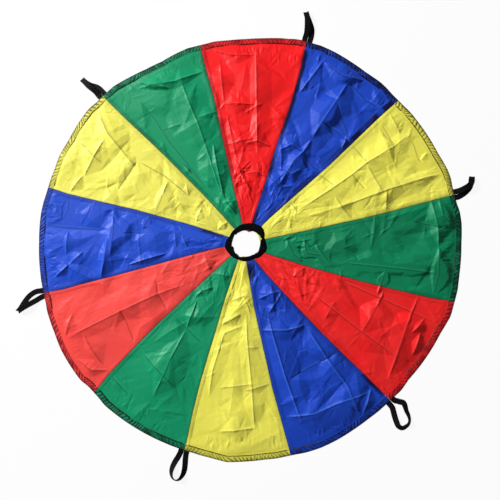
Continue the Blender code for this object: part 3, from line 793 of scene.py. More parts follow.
def sheetShell(name, top, under, material, flat, values):
    # A closed thin piece between two grids of points: rows run outwards and columns anticlockwise.
    # The underside may be coarser and keep only every second or third row and column.
    step = (top.shape[0] - 1) // (under.shape[0] - 1)
    index = np.arange(top[..., 0].size).reshape(top.shape[:2])
    below = index.size + np.arange(under[..., 0].size).reshape(under.shape[:2])
    edge, lowEdge = gridEdge(index), gridEdge(below)
    walls = []
    for k, low in enumerate(lowEdge):
        fine = edge[(k * step + np.arange(step + 1)) % len(edge)]
        walls.append((low, lowEdge[(k + 1) % len(lowEdge)], *fine[::-1]))
    faces = [*gridQuads(index).tolist(), *gridQuads(below)[:, ::-1].tolist(), *walls]
    points = np.concatenate([top.reshape(-1, 3), under.reshape(-1, 3)])
    uv = ("cloth", np.concatenate([flat.reshape(-1, 2), flat[::step, ::step].reshape(-1, 2)]))
    both = {key: np.concatenate([v.ravel(), v[::step, ::step].ravel()]) for key, v in values.items()}
    return makePiece(name, points, faces, material, uv, both)


def underneath(height, thickness):
    # A coarser underside that stays below every point of the top side near it
    step = gore["underStep"]
    for axis in (0, 1):
        lowest = height
        for shift in range(-step, step + 1):
            moved = np.clip(np.arange(height.shape[axis]) + shift, 0, height.shape[axis] - 1)
            lowest = np.minimum(lowest, np.take(height, moved, axis=axis))
        height = lowest
    return np.clip(height[::step, ::step] - thickness, 0.0001, None)


def inOwnFrame(index, radius, theta):
    # Metres along and across the gore, for its weave
    middle = math.pi / 2 - index * 2 * math.pi / goreCount
    return np.stack([radius * np.sin(theta - middle), radius * np.cos(theta - middle)], axis=-1)


def makeCloth(kind, index, radius, theta, height, low, shades):
    # A gore or its hem, from the heights of its top side and of its coarser underside
    step = gore["underStep"]
    top, under = onGround(radius, theta, height), onGround(radius[::step, ::step], theta[::step, ::step], low)
    # painted sheen: some whole gores are paler, as the lamp's sheen lies on them
    shades["pale"] = taffetas["paintedSheens"][index] + 0 * radius
    material, flat = taffeta[goreColour(index)], inOwnFrame(index, radius, theta)
    return sheetShell(kind + "_" + goreName(index), top, under, material, flat, shades)


gore = {
    "rows": 301,
    "columns": 139,
    # the underside of a gore and of its hem keeps only every third row and column
    "underStep": 3,
    "nearSeam": [0.00015, 0.0012, 0.003, 0.006, 0.01, 0.014, 0.018],
    "thickness": 0.0005,
    "underHem": 0.004,
    "fullWidth": 0.16,
}
hem = {
    "pitch": 0.0015,
    "shares": [
        0, 0.006, 0.015, 0.04, 0.07, 0.1, 0.13, 0.17, 0.22, 0.28, 0.34, 0.4, 0.46, 0.52, 0.58, 0.64, 0.7,
        0.76, 0.82, 0.87, 0.91, 0.945, 0.97, 0.988, 1,
    ],
    "thickness": 0.0024,
    "clothThickness": 0.0005,
    "innerEdge": 0.0011,
    "puckerPitch": 0.014,
    "puckerHeight": 0.0026,
    "slant": 1.2,
    "outerFall": 0.55,
    "threadShare": 0.1,
    "threadGroove": 0.0007,
    "handleLift": 0.0018,
    "handleHalf": 0.026,
    "handleEase": 0.02,
    "sideGap": 0.00015,
    # how dark the hem is where its turned-in cloth shows through, and how strong the dark strokes painted in
    # its pucker valleys are
    "shows": {"red": 0.8, "blue": 0.8, "yellow": 0.55, "green": 0.8},
    "valleyShadeStrokes": {"red": 0.6, "blue": 0.7, "yellow": 1.5, "green": 0.8},
    # the hems that lie in the shade of their own fall are darker
    "darker": {3: 0.45, 0: 0.1, 1: 0.15, 9: -0.3},
}


def handleRaise(index, radius, theta):
    # The hem lies over the handles' sewn ends
    total = 0
    for seam, away in zip((index, index - 1), seamDistances(index, radius, theta)):
        if seam % 2 == 0:
            total = total + 1 - smoothStep((away - hem["handleHalf"]) / hem["handleEase"])
    return hem["handleLift"] * total


def hemTopAt(index, theta, share):
    radius = rimAt(index, theta) - hemWidth * (1 - share)
    arc = theta * rimRadius
    lean = hem["slant"] * (1 + 0.6 * wander(arc, 0.06, 19))
    run = arc / hem["puckerPitch"] + lean * share + 0.6 * wander(arc, 0.04, 11)
    back = arc / (1.3 * hem["puckerPitch"]) - lean * share + 0.6 * wander(arc, 0.05, 13)
    size = 0.75 + 0.5 * latticeNoise(arc, share * 0.02, 0.035, 17)
    mixed = smoothStep(0.5 + 1.2 * wander(arc, 0.09, 23))
    pucker = mixed * pleat(run) + (1 - mixed) * pleat(back)
    middle = smoothStep((share - 0.06) / 0.14) * smoothStep((1.02 - share) / 0.1)
    height = hem["thickness"] + hem["puckerHeight"] * size * (pucker - 0.4) * middle
    height = height - hem["threadGroove"] * ridge(share - hem["threadShare"], 0.035)
    height = hem["innerEdge"] + (height - hem["innerEdge"]) * smoothStep((share + 0.01) / 0.035)
    outer = np.sqrt(np.clip(1 - (np.clip(share - 0.93, 0, None) / 0.07) ** 2, 0, 1))
    outer = outer * (1 - hem["outerFall"] * np.clip((share - 0.5) / 0.5, 0, 1) ** 1.6)
    lowest = hem["clothThickness"]
    return radius, lowest + (height - lowest) * outer + handleRaise(index, radius, theta)


def goreGrid(index):
    low, high = seamAngle(index), seamAngle(index - 1)
    near = np.array(gore["nearSeam"])
    shares = np.linspace(0, 1, gore["columns"])[1:-1]
    down = np.linspace(0, 1, gore["rows"])[:, None]
    start = vent["cutRadius"]
    radius = start + (rimRadius - hemWidth - start) * down
    steps = near * np.minimum(1, radius * (high - low) / gore["fullWidth"])
    left, right = low + np.arcsin(steps / radius), high - np.arcsin(steps[..., ::-1] / radius)
    inner = left[..., -1:] + (right[..., :1] - left[..., -1:]) * shares
    theta = np.concatenate([left, inner, right], axis=-1)
    outer = rimAt(index, theta) - hemWidth + gore["underHem"]
    return start + (outer - start) * down, theta


def goreShades(index, radius, theta):
    shade, line = np.zeros_like(radius), np.zeros_like(radius)
    for side, away in enumerate(seamDistances(index, radius, theta)):
        seam, reach = index - side, allowanceReach(index, side)
        shows = seams["shows"][index][side]
        edge = reach * (1 + 0.12 * latticeNoise(radius, away, 0.03, 41 + seam % goreCount))
        strong = shows * (0.72 + 0.7 * wander(radius, 0.09, 61 + index + seam % goreCount))
        for patchGore, patchSide, start, end, more in seams["patches"]:
            if (patchGore, patchSide) == (index, side):
                strong = strong + more * band(radius, start, end, 0.02)
        shade = np.maximum(shade, strong * smoothStep((edge - away) / 0.004))
        # painted shade in wide dark places beside a seam
        for foldedGore, foldedSide, start, end, width, dark in seams["folded"]:
            if (foldedGore, foldedSide) == (index, side):
                folded = dark * band(radius, start, end, 0.016) * smoothStep((width - away) / 0.008)
                shade = np.maximum(shade, folded)
        line = np.maximum(line, 0.85 * ridge(away, seams["joinLine"]))
        line = np.maximum(line, (0.12 + 0.2 * shows) * ridge(away - reach, seams["edgeLine"]))
    laid = bowed(radius, theta)
    _, creased, light = creaseField(radius * np.cos(laid), radius * np.sin(laid))
    # painted shade over whole gores whose folds face away from the lamp, a little uneven
    shade = np.maximum(shade, taffetas["paintedShades"][index] * (1 + 0.4 * latticeNoise(radius, theta, 0.12, 87)))
    return {"allowance": shade, "line": np.maximum(line, creased), "light": light}


def makeGore(index):
    radius, theta = goreGrid(index)
    atHem = smoothStep((radius - rimRadius + 0.055) / 0.03)
    height = canopyTop(index, radius, theta) + handleRaise(index, radius, theta) * atHem
    low = underneath(height, gore["thickness"])
    return makeCloth("gore", index, radius, theta, height, low, goreShades(index, radius, theta))


def makeHem(index):
    low, high = seamAngle(index), seamAngle(index - 1)
    gap, step = hem["sideGap"] / rimRadius, gore["underStep"]
    count = int((high - low) * rimRadius / hem["pitch"] / step) * step + 1
    theta, share = np.meshgrid(np.linspace(low + gap, high - gap, count), np.array(hem["shares"]))
    radius, height = hemTopAt(index, theta, share)
    raised = handleRaise(index, radius, theta)
    low = underneath(height - raised, hem["clothThickness"]) + raised[::step, ::step]
    arc = theta * rimRadius
    edge = 0.85 * smoothStep((share - 0.9) / 0.06) + 1.1 * ridge(share - hem["threadShare"], 0.1)
    # painted shade: the hem is darker in its pucker valleys and lighter on their ridges
    lifted = np.clip((height - raised - hem["thickness"]) / hem["puckerHeight"] + 0.45, 0, 1)
    patch = hem["shows"][goreColour(index)] + hem["darker"].get(index, 0)
    patch = patch * (1.2 + 0.45 * latticeNoise(arc, share * hemWidth, 0.02, 31) - 0.65 * lifted)
    # dark strokes in the pucker valleys: painted shade, partly standing for overlock thread seen through the
    # cloth
    valleyShadeStrokes = hem["valleyShadeStrokes"][goreColour(index)] * (1 - lifted) ** 2 * smoothStep((share - 0.2) / 0.2)
    valleyShadeStrokes = valleyShadeStrokes * (1 + 0.8 * wander(arc, 0.13, 29))
    shades = {"allowance": np.clip(patch, 0, 1), "line": np.clip(np.maximum(valleyShadeStrokes, edge), 0, 1)}
    return makeCloth("hem", index, radius, theta, height, low, shades)


allowanceStrip = {
    "half": 0.009,
    "under": 0.0003,
    "thickness": 0.0006,
    "rowPitch": 0.008,
    "columns": 19,
    # how far each strip ends from the rim: a handle's sewn ends take its place under the hem
    "shortAtHandle": 0.031,
    "short": 0.007,
    # its lower side and thickness under the hem, and how far from the rim and over what length it gets there
    "underHem": (0.0001, 0.0003),
    "drop": (0.046, 0.01),
}


def stripEnd(index):
    return seamReach(index) - allowanceStrip["short" if index % 2 else "shortAtHandle"]


def makeAllowance(index):
    # The turned-in cloth of both gores, sewn flat under the join
    half, start, end = allowanceStrip["half"], canopy["seamStart"], stripEnd(index)
    side, out = np.meshgrid(
        np.linspace(-half, half, allowanceStrip["columns"]),
        np.linspace(start, end, int((end - start) / allowanceStrip["rowPitch"])))
    radius, theta = np.hypot(out, side), seamAngle(index) + np.arctan2(side, out)
    lowest, thinnest = allowanceStrip["underHem"]
    reach, soft = allowanceStrip["drop"]
    drop = smoothStep((out - seamReach(index) + reach) / soft)
    low = allowanceStrip["under"] + np.abs(0.00025 * latticeNoise(out, side, 0.02, 91 + index))
    low = low + (lowest - low) * drop
    thick = allowanceStrip["thickness"] + (thinnest - allowanceStrip["thickness"]) * drop
    under, top = onGround(radius, theta, low), onGround(radius, theta, low + thick)
    shades = {"allowance": 0.3 + 0 * out, "line": 0.6 * ridge(side, 0.001)}
    flat = np.stack([side, out], axis=-1)
    return sheetShell("allowance_" + seamName(index), top, under, taffeta[goreColour(index)], flat, shades)


binding = {
    "columns": 260,
    "foldGap": 0.00015,
    "middleRadius": 0.07,
    "under": 0.0004,
    "height": 0.0048,
    "gathers": 66,
    "gatherHeight": 0.0013,
    "gatherReach": 0.0011,
    # it stands higher round this many degrees
    "topLift": 0.0012,
    "topMiddle": 100,
    "topHalf": 50,
    "foldLevel": 0.0036,
    "foldSlope": 0.13,
    # a turn round the tape's section: (share from inner to outer edge, share of the height)
    "section": [
        (0.02, 0.08), (0, 0.35), (0.02, 0.62), (0.07, 0.84), (0.15, 0.96), (0.26, 1), (0.38, 0.97),
        (0.5, 0.9), (0.62, 0.86), (0.73, 0.83), (0.83, 0.77), (0.91, 0.68), (0.97, 0.55), (1, 0.38),
        (0.98, 0.1), (0.85, 0), (0.6, 0), (0.3, 0),
    ],
}


def makeBinding(name, firstSeam, lastSeam):
    # Half of the gathered tape that wraps the vent's edge. It stays low beside the fold line.
    theta = np.linspace(seamAngle(lastSeam), seamAngle(firstSeam), binding["columns"])
    gap = binding["foldGap"] / binding["middleRadius"]
    theta[[0, -1]] += (gap, -gap)
    inner, outer = ventOutline(theta)
    run = theta * binding["gathers"] / (2 * math.pi)
    run = run + 0.8 * wander(theta, 0.35, 51) + 0.4 * wander(theta, 0.12, 53)
    strong = 0.7 + 0.5 * wander(theta, 0.3, 57)
    lift = binding["topLift"] * ridge(np.degrees(theta) % 360 - binding["topMiddle"], binding["topHalf"])
    rings = []
    for across, tall in binding["section"]:
        fold = (pleat(run + 0.35 * across) - 0.5) * strong
        radius = inner + (outer - inner) * across + binding["gatherReach"] * fold * (1 - 2 * across)
        height = binding["height"] + lift * (1 - across) + binding["gatherHeight"] * fold * tall
        height = binding["under"] + (height - binding["under"]) * tall
        highest = fromFoldLine(radius * np.cos(theta), radius * np.sin(theta))
        highest = binding["foldLevel"] + binding["foldSlope"] * highest
        rings.append(polarPoints(radius, theta, np.minimum(height, highest)))
    grid = np.stack(rings, axis=1)
    count, around = grid.shape[:2]
    across = [0.03 * share for share, _ in binding["section"]]
    uv = np.stack([np.repeat(theta * 0.075, around), np.tile(across, count)], axis=-1)
    return makePiece(name, grid.reshape(-1, 3), tubeFaces(count, around, turned=True), tape, ("strap", uv))


# Frayed edges of the gores, seen inside the vent:
# (gore, middle in degrees, width, reach inwards, reach outwards over the tape, height)
frays = [
    (2, 23, 0.024, 0.006, 0.011, 0.0064), (6, 262, 0.014, 0.004, 0.006, 0.0021),
    (4, 318, 0.014, 0.003, 0.006, 0.0021), (11, 137, 0.012, 0.006, 0.006, 0.0021),
    (12, 80, 0.02, 0.004, 0.009, 0.0074), (8, 200, 0.014, 0.005, 0.006, 0.0021),
    (7, 235, 0.016, 0.005, 0.006, 0.0021),
]
fray = {
    "columns": 24,
    "rows": 7,
    "thickness": 0.0004,
    "nominalRadius": 0.06,
    "dark": {"red": 0.95, "yellow": 0.12, "green": 0.6},
}


def makeFray(index, degrees, width, reach, over, height):
    middle, spread = math.radians(degrees), width / 2 / fray["nominalRadius"]
    theta = middle + np.linspace(-spread, spread, fray["columns"])
    inner, run = ventOutline(theta)[0], theta * fray["nominalRadius"]
    edge = np.sqrt(np.clip(1 - ((theta - middle) / spread) ** 2, 0.02, 1))
    jagged = edge * (0.65 + 0.45 * wander(run, 0.0018, 200 + degrees))
    share = np.linspace(0, 1, fray["rows"])[:, None]
    radius = inner - reach * jagged + (over + reach) * jagged * share
    theta = theta + 0 * radius
    height = height + 0.0006 * latticeNoise(run + 0 * radius, radius, 0.004, 77) - 0.0008 * (1 - share)
    top, under = (polarPoints(radius, theta, height - down) for down in (0, fray["thickness"]))
    dark = fray["dark"][goreColour(index)] + 0.15 * (1 - share)
    shades = {"allowance": 0.35 + 0 * radius, "line": dark + 0 * radius}
    material, flat = taffeta[goreColour(index)], inOwnFrame(index, radius, theta)
    return sheetShell("frayed_edge_" + goreName(index), top, under, material, flat, shades)


handle = {
    "width": 0.024,
    "thickness": 0.0015,
    "setback": 0.00105,
    "sewn": 0.026,
    "gap": 0.0003,
    "refine": 8,
    "steepestSine": 0.3,
    "tuck": 0.0006,
}
# Stations along the middle of each loop, clockwise from twelve o'clock: (outwards, to the left, height), as
# shares of the webbing's width, and the lean in degrees where there is one
loops = {
    "top": [
        (0.6, -0.51, 0.04), (1.4, -0.46, 0.04), (2.4, -0.2, 0.04), (3.3, 0.35, 0.04), (4.1, 0.95, 0.05),
        (4.75, 1.45, 0.1), (5.1, 1.72, 0.32), (4.8, 1.55, 0.56), (4.1, 1.2, 0.7), (3.3, 0.95, 0.78),
        (2.4, 0.7, 0.68), (1.4, 0.5, 0.36), (0.6, 0.51, 0.1),
    ],
    "right": [
        (0.5, -0.51, 0.04), (1.2, -0.32, 0.04), (2.1, 0.1, 0.04), (2.8, 0.62, 0.05), (3.25, 1.3, 0.08),
        (3.5, 2, 0.14), (3.62, 2.4, 0.36), (3.45, 2, 0.58), (3.15, 1.4, 0.7), (2.6, 0.98, 0.74),
        (1.8, 0.7, 0.6), (1.1, 0.54, 0.32), (0.55, 0.51, 0.08),
    ],
    "lowerRight": [
        (0.5, -0.53, 0.04), (1.1, -0.6, 0.07, 2), (1.7, -0.92, 0.12, 8), (2.5, -1.36, 0.17, 14),
        (3.3, -1.74, 0.22, 20), (4.05, -1.98, 0.28, 26), (4.7, -1.72, 0.3, 28), (4.9, -1.05, 0.33, 32),
        (4.86, -0.4, 0.4, 42), (4.45, 0.2, 0.44, 50), (3.8, 0.58, 0.4, 44), (3, 0.86, 0.33, 32),
        (2.3, 1.24, 0.2, 16), (1.75, 1.4, 0.1, 6), (1.25, 1.1, 0.06), (0.8, 0.82, 0.04), (0.5, 0.6, 0.04),
    ],
    "bottom": [
        (0.6, -0.53, 0.04), (1.4, -0.68, 0.08, 4), (2.3, -0.94, 0.15, 12), (3.3, -1.12, 0.25, 24),
        (4.2, -1.06, 0.38, 42), (4.95, -0.66, 0.45, 54), (5.25, 0, 0.47, 60), (4.95, 0.62, 0.45, 54),
        (4.2, 0.98, 0.38, 42), (3.3, 1.06, 0.25, 24), (2.3, 0.9, 0.15, 12), (1.4, 0.68, 0.08, 4),
        (0.6, 0.53, 0.04),
    ],
    "left": [
        (0.5, -0.55, 0.04), (1.2, -0.6, 0.04), (2, -0.42, 0.04), (2.8, -0.02, 0.04), (3.6, 0.62, 0.05),
        (4.3, 1.3, 0.06), (4.85, 1.85, 0.1), (5.1, 2.08, 0.32), (4.75, 1.95, 0.54), (4.1, 1.74, 0.62),
        (3.3, 1.5, 0.6), (2.4, 1.24, 0.46), (1.5, 0.96, 0.26), (0.7, 0.68, 0.08),
    ],
    "upperLeft": [
        (0.6, -0.5, 0.04), (1.4, -0.48, 0.04), (2.2, -0.26, 0.04), (3, 0.2, 0.04), (3.9, 0.5, 0.05),
        (4.6, 0.6, 0.09), (4.95, 0.62, 0.32), (4.6, 0.62, 0.56), (3.9, 0.6, 0.7), (3, 0.62, 0.76),
        (2.2, 0.52, 0.62), (1.4, 0.42, 0.34), (0.6, 0.5, 0.1),
    ],
}


def inHandleFrame(index, points):
    # Here +X is outwards from the hinge, which lies across the rim at mid-thickness of the webbing
    angle, out = seamAngle(index), seamReach(index) + handle["setback"]
    place = Matrix.Translation((out * math.cos(angle), out * math.sin(angle), handle["thickness"] / 2))
    place = np.array(place @ Matrix.Rotation(angle, 4, "Z"))
    return points @ place[:3, :3].T + place[:3, 3]


def spline(a, b, c, d, t):
    return (b * 2 + (c - a) * t + (a * 2 - b * 5 + c * 4 - d) * t**2 + (b * 3 - a - c * 3 + d) * t**3) / 2


def loopStations(rows):
    wide = handle["width"]
    leg = (wide + handle["gap"]) / 2
    rows = np.array([(*row, 0)[:4] for row in rows]) * (wide, wide, wide, math.pi / 180)
    rows = rows - (0, 0, handle["thickness"] / 2, 0)
    path = np.concatenate([[[0, -leg, 0, 0]], rows, [[0, leg, 0, 0]]])
    last = len(path) - 1
    smooth = []
    for k in range(last):
        four = [path[min(max(k + d, 0), last)] for d in (-1, 0, 1, 2)]
        smooth += [spline(*four, step / handle["refine"]) for step in range(handle["refine"])]
    return np.array([*smooth, path[-1]])


def bandSection():
    # A turn round the webbing's section: flat faces and rounded edges
    half, r = handle["width"] / 2, handle["thickness"] / 2
    upper = [(y, r) for y in np.linspace(-half + r, half - r, 7)]
    right = [(half - r + r * math.cos(a), r * math.sin(a)) for a in np.radians([60, 20, -20, -60])]
    return np.array([*upper, *right, *[(-y, -z) for y, z in (*upper, *right)]])


def makeLoop(index):
    stations = loopStations(list(loops.values())[index // 2])
    places, leans = stations[:, :3], stations[:, 3]
    last = len(places) - 1
    up, across = np.array([0.0, 0, 1]), np.array([0.0, 1, 0])
    widths, thicks = [], []
    for k, lean in enumerate(leans):
        ahead = places[min(k + 1, last)] - places[max(k - 1, 0)]
        if k in (0, last):
            ahead = np.array([-1.0 if k else 1.0, 0, 0])
        ahead = ahead / np.linalg.norm(ahead)
        level = np.cross(up, ahead)
        if np.linalg.norm(level) > handle["steepestSine"]:
            across = level if level @ across > 0 else -level
        else:
            across = across - ahead * (across @ ahead)
        across = across / np.linalg.norm(across)
        widths.append(np.array(Matrix.Rotation(lean, 3, Vector(ahead)) @ Vector(across)))
        thick = np.cross(ahead, widths[-1])
        thicks.append(thick / np.linalg.norm(thick))
    # the ends are tucked in and thinned out
    tuck = np.array([handle["tuck"], 0, 0])
    places = np.array([places[0] - tuck, *places, places[-1] - tuck])
    widths, thicks = (np.array([rows[0], *rows, rows[-1]])[:, None] for rows in (widths, thicks))
    thicks[[0, -1]] *= 0.5
    section = bandSection()
    grid = places[:, None] + section[:, :1] * widths + section[:, 1:] * thicks
    count, around = grid.shape[:2]
    steps = np.concatenate([[0], np.cumsum(np.linalg.norm(np.diff(places, axis=0), axis=1))])
    uv = np.stack([np.repeat(steps, around), np.tile(section[:, 0], count)], axis=-1)
    points = inHandleFrame(index, grid.reshape(-1, 3))
    return makePiece("handle_" + seamName(index), points, tubeFaces(count, around), webbing, ("strap", uv))


def makeTabs(index):
    # Both flat ends of a handle, sewn side by side under the hem
    out = -handle["setback"]
    back = out - handle["sewn"]
    section = bandSection()
    points, faces, flat = [], [], []
    for side in (-1, 1):
        middle = side * (handle["gap"] + handle["width"]) / 2
        faces += tubeFaces(4, len(section), len(points))
        for x, scale in ((back, 0.6), (back + 0.0004, 1.0), (out - 0.0003, 1.0), (out, 0.6)):
            points += [(x, middle + y, z * scale) for y, z in section]
            flat += [(x, y) for y, _ in section]
    points = inHandleFrame(index, np.array(points))
    return makePiece("sewn_ends_" + seamName(index), points, faces, webbing, ("strap", flat))


stitches = {
    # pitch, length, thickness and slant
    "hem": (0.0042, 0.0041, 0.0009, 0.0),
    "edge": (0.0058, 0.0065, 0.0009, 0.9),
    "seam": (0.0040, 0.0029, 0.0005, 0.0),
    "handle": (0.0028, 0.0023, 0.0008, 0.0),
    "lineStep": 0.0028,
    "edgeShare": 0.86,
    "besideSeam": 0.0016,
    "insideAllowance": 0.001,
    "boxMargins": (0.004, 0.002),
    # the hem's inner row looks lighter between these degrees
    "lightFrom": -78,
    "lightTo": 2,
}


def makeStitchTree():
    # A row of stitches along a line: lumps of thread, laid along it or slanted one way and the other
    group = bpy.data.node_groups.new("stitchRow", "GeometryNodeTree")
    tree = Tree(group)
    kinds = {
        "Geometry": "Geometry", "pitch": "Float", "length": "Float", "thickness": "Float", "slant": "Float",
        "seed": "Int", "thread": "Material",
    }
    for name, kind in kinds.items():
        group.interface.new_socket(name, in_out="INPUT", socket_type="NodeSocket" + kind)
    group.interface.new_socket("Geometry", in_out="OUTPUT", socket_type="NodeSocketGeometry")
    rows, pitch, length, thick, slant, seed, thread = tree.node("NodeGroupInput", {}, {}, tuple(kinds))
    line = tree.node("GeometryNodeMeshToCurve", {}, {"Mesh": rows})
    inputs = {"Curve": line, "Length": pitch}
    spots, tangent = tree.node("GeometryNodeCurveToPoints", {"mode": "LENGTH"}, inputs, ("Points", "Tangent"))
    lump = tree.node("GeometryNodeMeshIcoSphere", {}, {"Radius": 0.5, "Subdivisions": 1})
    settings = {"axis": "X", "pivot_axis": "Z"}
    ahead = tree.node("FunctionNodeAlignRotationToVector", settings, {"Vector": tangent})
    number = tree.node("GeometryNodeInputIndex", {}, {})
    sign = number.work("MULTIPLY_ADD", number.work("MODULO", number, 2.0), 2.0, -1.0)
    inputs = {2: -0.12, 3: 0.12, "Seed": seed}
    jitter = tree.node("FunctionNodeRandomValue", {"data_type": "FLOAT"}, inputs, 1)
    turn = tree.node("ShaderNodeCombineXYZ", {}, {"Z": number.work("MULTIPLY_ADD", sign, slant, jitter)})
    turn = tree.node("FunctionNodeEulerToRotation", {}, {0: turn})
    turned = tree.node("FunctionNodeRotateRotation", {"rotation_space": "LOCAL"}, {0: ahead, 1: turn})
    size = tree.node("ShaderNodeCombineXYZ", {}, {"X": length, "Y": thick, "Z": thick})
    inputs = {"Points": spots, "Instance": lump, "Rotation": turned, "Scale": size}
    laid = tree.node("GeometryNodeInstanceOnPoints", {}, inputs)
    real = tree.node("GeometryNodeRealizeInstances", {}, {0: laid})
    smooth = tree.node("GeometryNodeSetShadeSmooth", {}, {"Geometry": real})
    coloured = tree.node("GeometryNodeSetMaterial", {}, {"Geometry": smooth, "Material": thread})
    tree.node("NodeGroupOutput", {}, {0: coloured})
    return group


stitchTree = makeStitchTree()


def stitchRows(lines, kind, seed):
    # Mesh data of the stitches along some lines of points
    edges, start = [], 0
    for line in lines:
        edges += [(start + k, start + k + 1) for k in range(len(line) - 1)]
        start += len(line)
    guide = bpy.data.meshes.new("guide")
    guide.from_pydata(np.concatenate(lines), edges, [])
    holder = linked("guide", guide)
    modifier = holder.modifiers.new("stitches", "NODES")
    modifier.node_group = stitchTree
    sockets = [s.identifier for s in stitchTree.interface.items_tree if s.in_out == "INPUT"]
    for identifier, value in zip(sockets[1:], (*stitches[kind], seed, thread)):
        modifier[identifier] = value
    depsgraph = bpy.context.evaluated_depsgraph_get()
    mesh = bpy.data.meshes.new_from_object(holder.evaluated_get(depsgraph), depsgraph=depsgraph)
    bpy.data.objects.remove(holder, do_unlink=True)
    bpy.data.meshes.remove(guide)
    return mesh


def joined(name, meshes, lit=()):
    # One piece from several meshes of stitches
    points, faces, light, start = [], [], [], 0
    for mesh in meshes:
        places = np.empty(len(mesh.vertices) * 3)
        mesh.vertices.foreach_get("co", places)
        places = places.reshape(-1, 3)
        points.append(places)
        faces.append(cornersOf(mesh).reshape(-1, 3) + start)
        degrees = np.degrees(np.arctan2(places[:, 1], places[:, 0]))
        light.append(band(degrees, stitches["lightFrom"], stitches["lightTo"], 3) * (mesh in lit))
        start += len(places)
        bpy.data.meshes.remove(mesh)
    points, faces, light = (np.concatenate(rows) for rows in (points, faces, light))
    return makePiece(name, points, faces, thread, None, {"light": light}, 180)


def hemLine(index, share, lift):
    low, high = seamAngle(index), seamAngle(index - 1)
    theta = np.linspace(low + 0.004, high - 0.004, int((high - low) / stitches["lineStep"] * rimRadius))
    radius, height = hemTopAt(index, theta, share + 0 * theta)
    return onGround(radius, theta, height + lift)


def seamLine(index, seam, away, lift):
    # A row beside one of a gore's seams, away from the join
    start, end = 0.1, rimRadius * 0.97 - hemWidth
    radius = np.linspace(start, end, int((end - start) / stitches["lineStep"]))
    theta = seamAngle(seam) + (1 if seam == index else -1) * np.arcsin(away / radius)
    return onGround(radius, theta, canopyTop(index, radius, theta) + lift)


def makeHandleStitching(index):
    # A box of stitches with a cross in it, over each sewn end, on top of the hem
    endMargin, sideMargin = stitches["boxMargins"]
    reach, back = -handle["setback"] - endMargin, -handle["setback"] - handle["sewn"] + endMargin
    near, far = sideMargin, handle["width"] - sideMargin
    box = np.array([(back, near), (reach, near), (reach, far), (back, far), (back, near), (reach, far)])
    lines = []
    for side in (-1, 1):
        for run in (box, box[[3, 1]]):
            line = [p + (q - p) * t for p, q in zip(run, run[1:]) for t in np.linspace(0, 1, 12)[:-1]]
            line = np.array([*line, run[-1]]) * (1, side)
            placed = inHandleFrame(index, np.pad(line, ((0, 0), (0, 1))))
            x, y = placed[:, 0], placed[:, 1]
            theta, under = np.arctan2(y, x), index if side < 0 else index + 1
            share = np.clip(1 - (rimAt(under, theta) - np.hypot(x, y)) / hemWidth, 0, 1)
            placed[:, 2] = hemTopAt(under, theta, share)[1] + 0.0001
            lines.append(placed)
    return joined("handle_stitching_pieces_" + seamName(index), [stitchRows(lines, "handle", index)])


foldLine = seamAngle(canopy["foldSeam"])


def foldAcross(piece):
    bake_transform(piece)


def touchesFold(index, *more):
    return any(seam % goreCount in foldSeams for seam in (index, *more))


gores, allowances, frayed = [], [], {}
for index in range(goreCount):
    piece, edge = makeGore(index), makeHem(index)
    gores.append((piece, edge))
    if touchesFold(index, index - 1):
        foldAcross(piece)
    else:
        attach(piece, bodyOf(index))
    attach(edge, bodyOf(index))
    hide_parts("panel_" + goreName(index))
    "cloth_" + goreColour(index)
    "cloth_" + goreColour(index)
print("gores and hems made")

for index in range(goreCount):
    piece = makeAllowance(index)
    allowances.append(piece)
    if touchesFold(index):
        foldAcross(piece)
    else:
        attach(piece, bodyOf(index))
    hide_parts("seam_" + seamName(index))
    stripEnd(index) - canopy["seamStart"]
    "cloth_" + goreColour(index)

halves = (("fixed", "canopy"), ("folding", "canopy_folding"))
for (half, body), start in zip(halves, foldSeams):
    piece = makeBinding("vent_tape_" + half, start, start + goreCount // 2)
    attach(piece, body)
    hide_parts("vent_binding_" + half)
for row in frays:
    piece = makeFray(*row)
    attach(piece, bodyOf(row[0]))
    "cloth_" + goreColour(row[0])
    frayed.setdefault(row[0] % goreCount, []).append(piece)
print("vent made")

for index, (piece, edge) in enumerate(gores):
    onto, edges = [allowances[index], allowances[index - 1]], [edge, *frayed.get(index, [])]

for index in range(0, goreCount, 2):
    name = seamName(index)
    loop, tabs, sewing = makeLoop(index), makeTabs(index), makeHandleStitching(index)
    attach(loop, "handle_" + name)
    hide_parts("handle_loop_" + name)
    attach(tabs, bodyOf(index))
    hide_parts("handle_end_" + name + "_a", "handle_end_" + name + "_b")
    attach(sewing, bodyOf(index))
    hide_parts("handle_stitching_" + name)
print("handles made")


def makeStitches(name, hems, besides):
    # The rows along some hems and beside some seams: (gore, seam)
    meshes = []
    if hems:
        meshes.append(stitchRows([hemLine(k, hem["threadShare"], 0.0002) for k in hems], "hem", 1))
        meshes.append(stitchRows([hemLine(k, stitches["edgeShare"], 0.0001) for k in hems], "edge", 2))
    lines = [seamLine(k, seam, stitches["besideSeam"], 0.0001) for k, seam in besides]
    meshes.append(stitchRows(lines, "seam", 3))
    inside = stitches["insideAllowance"]
    lines = [seamLine(k, seam, allowanceReach(k, k - seam) - inside, 0.0002) for k, seam in besides]
    meshes.append(stitchRows(lines, "seam", 3))
    piece = joined(name, meshes, meshes[:1] if hems else ())
    return piece


bothSides = [(k, seam) for k in range(goreCount) for seam in (k, k - 1)]
for half, body in halves:
    own = [k for k in range(goreCount) if bodyOf(k) == body]
    besides = [(k, seam) for k, seam in bothSides if k in own and not touchesFold(seam)]
    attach(makeStitches("stitches_" + half, own, besides), body)
besides = [(k, seam) for k, seam in bothSides if touchesFold(seam)]
foldAcross(makeStitches("stitches_fold_line", [], besides))
print("stitches made")


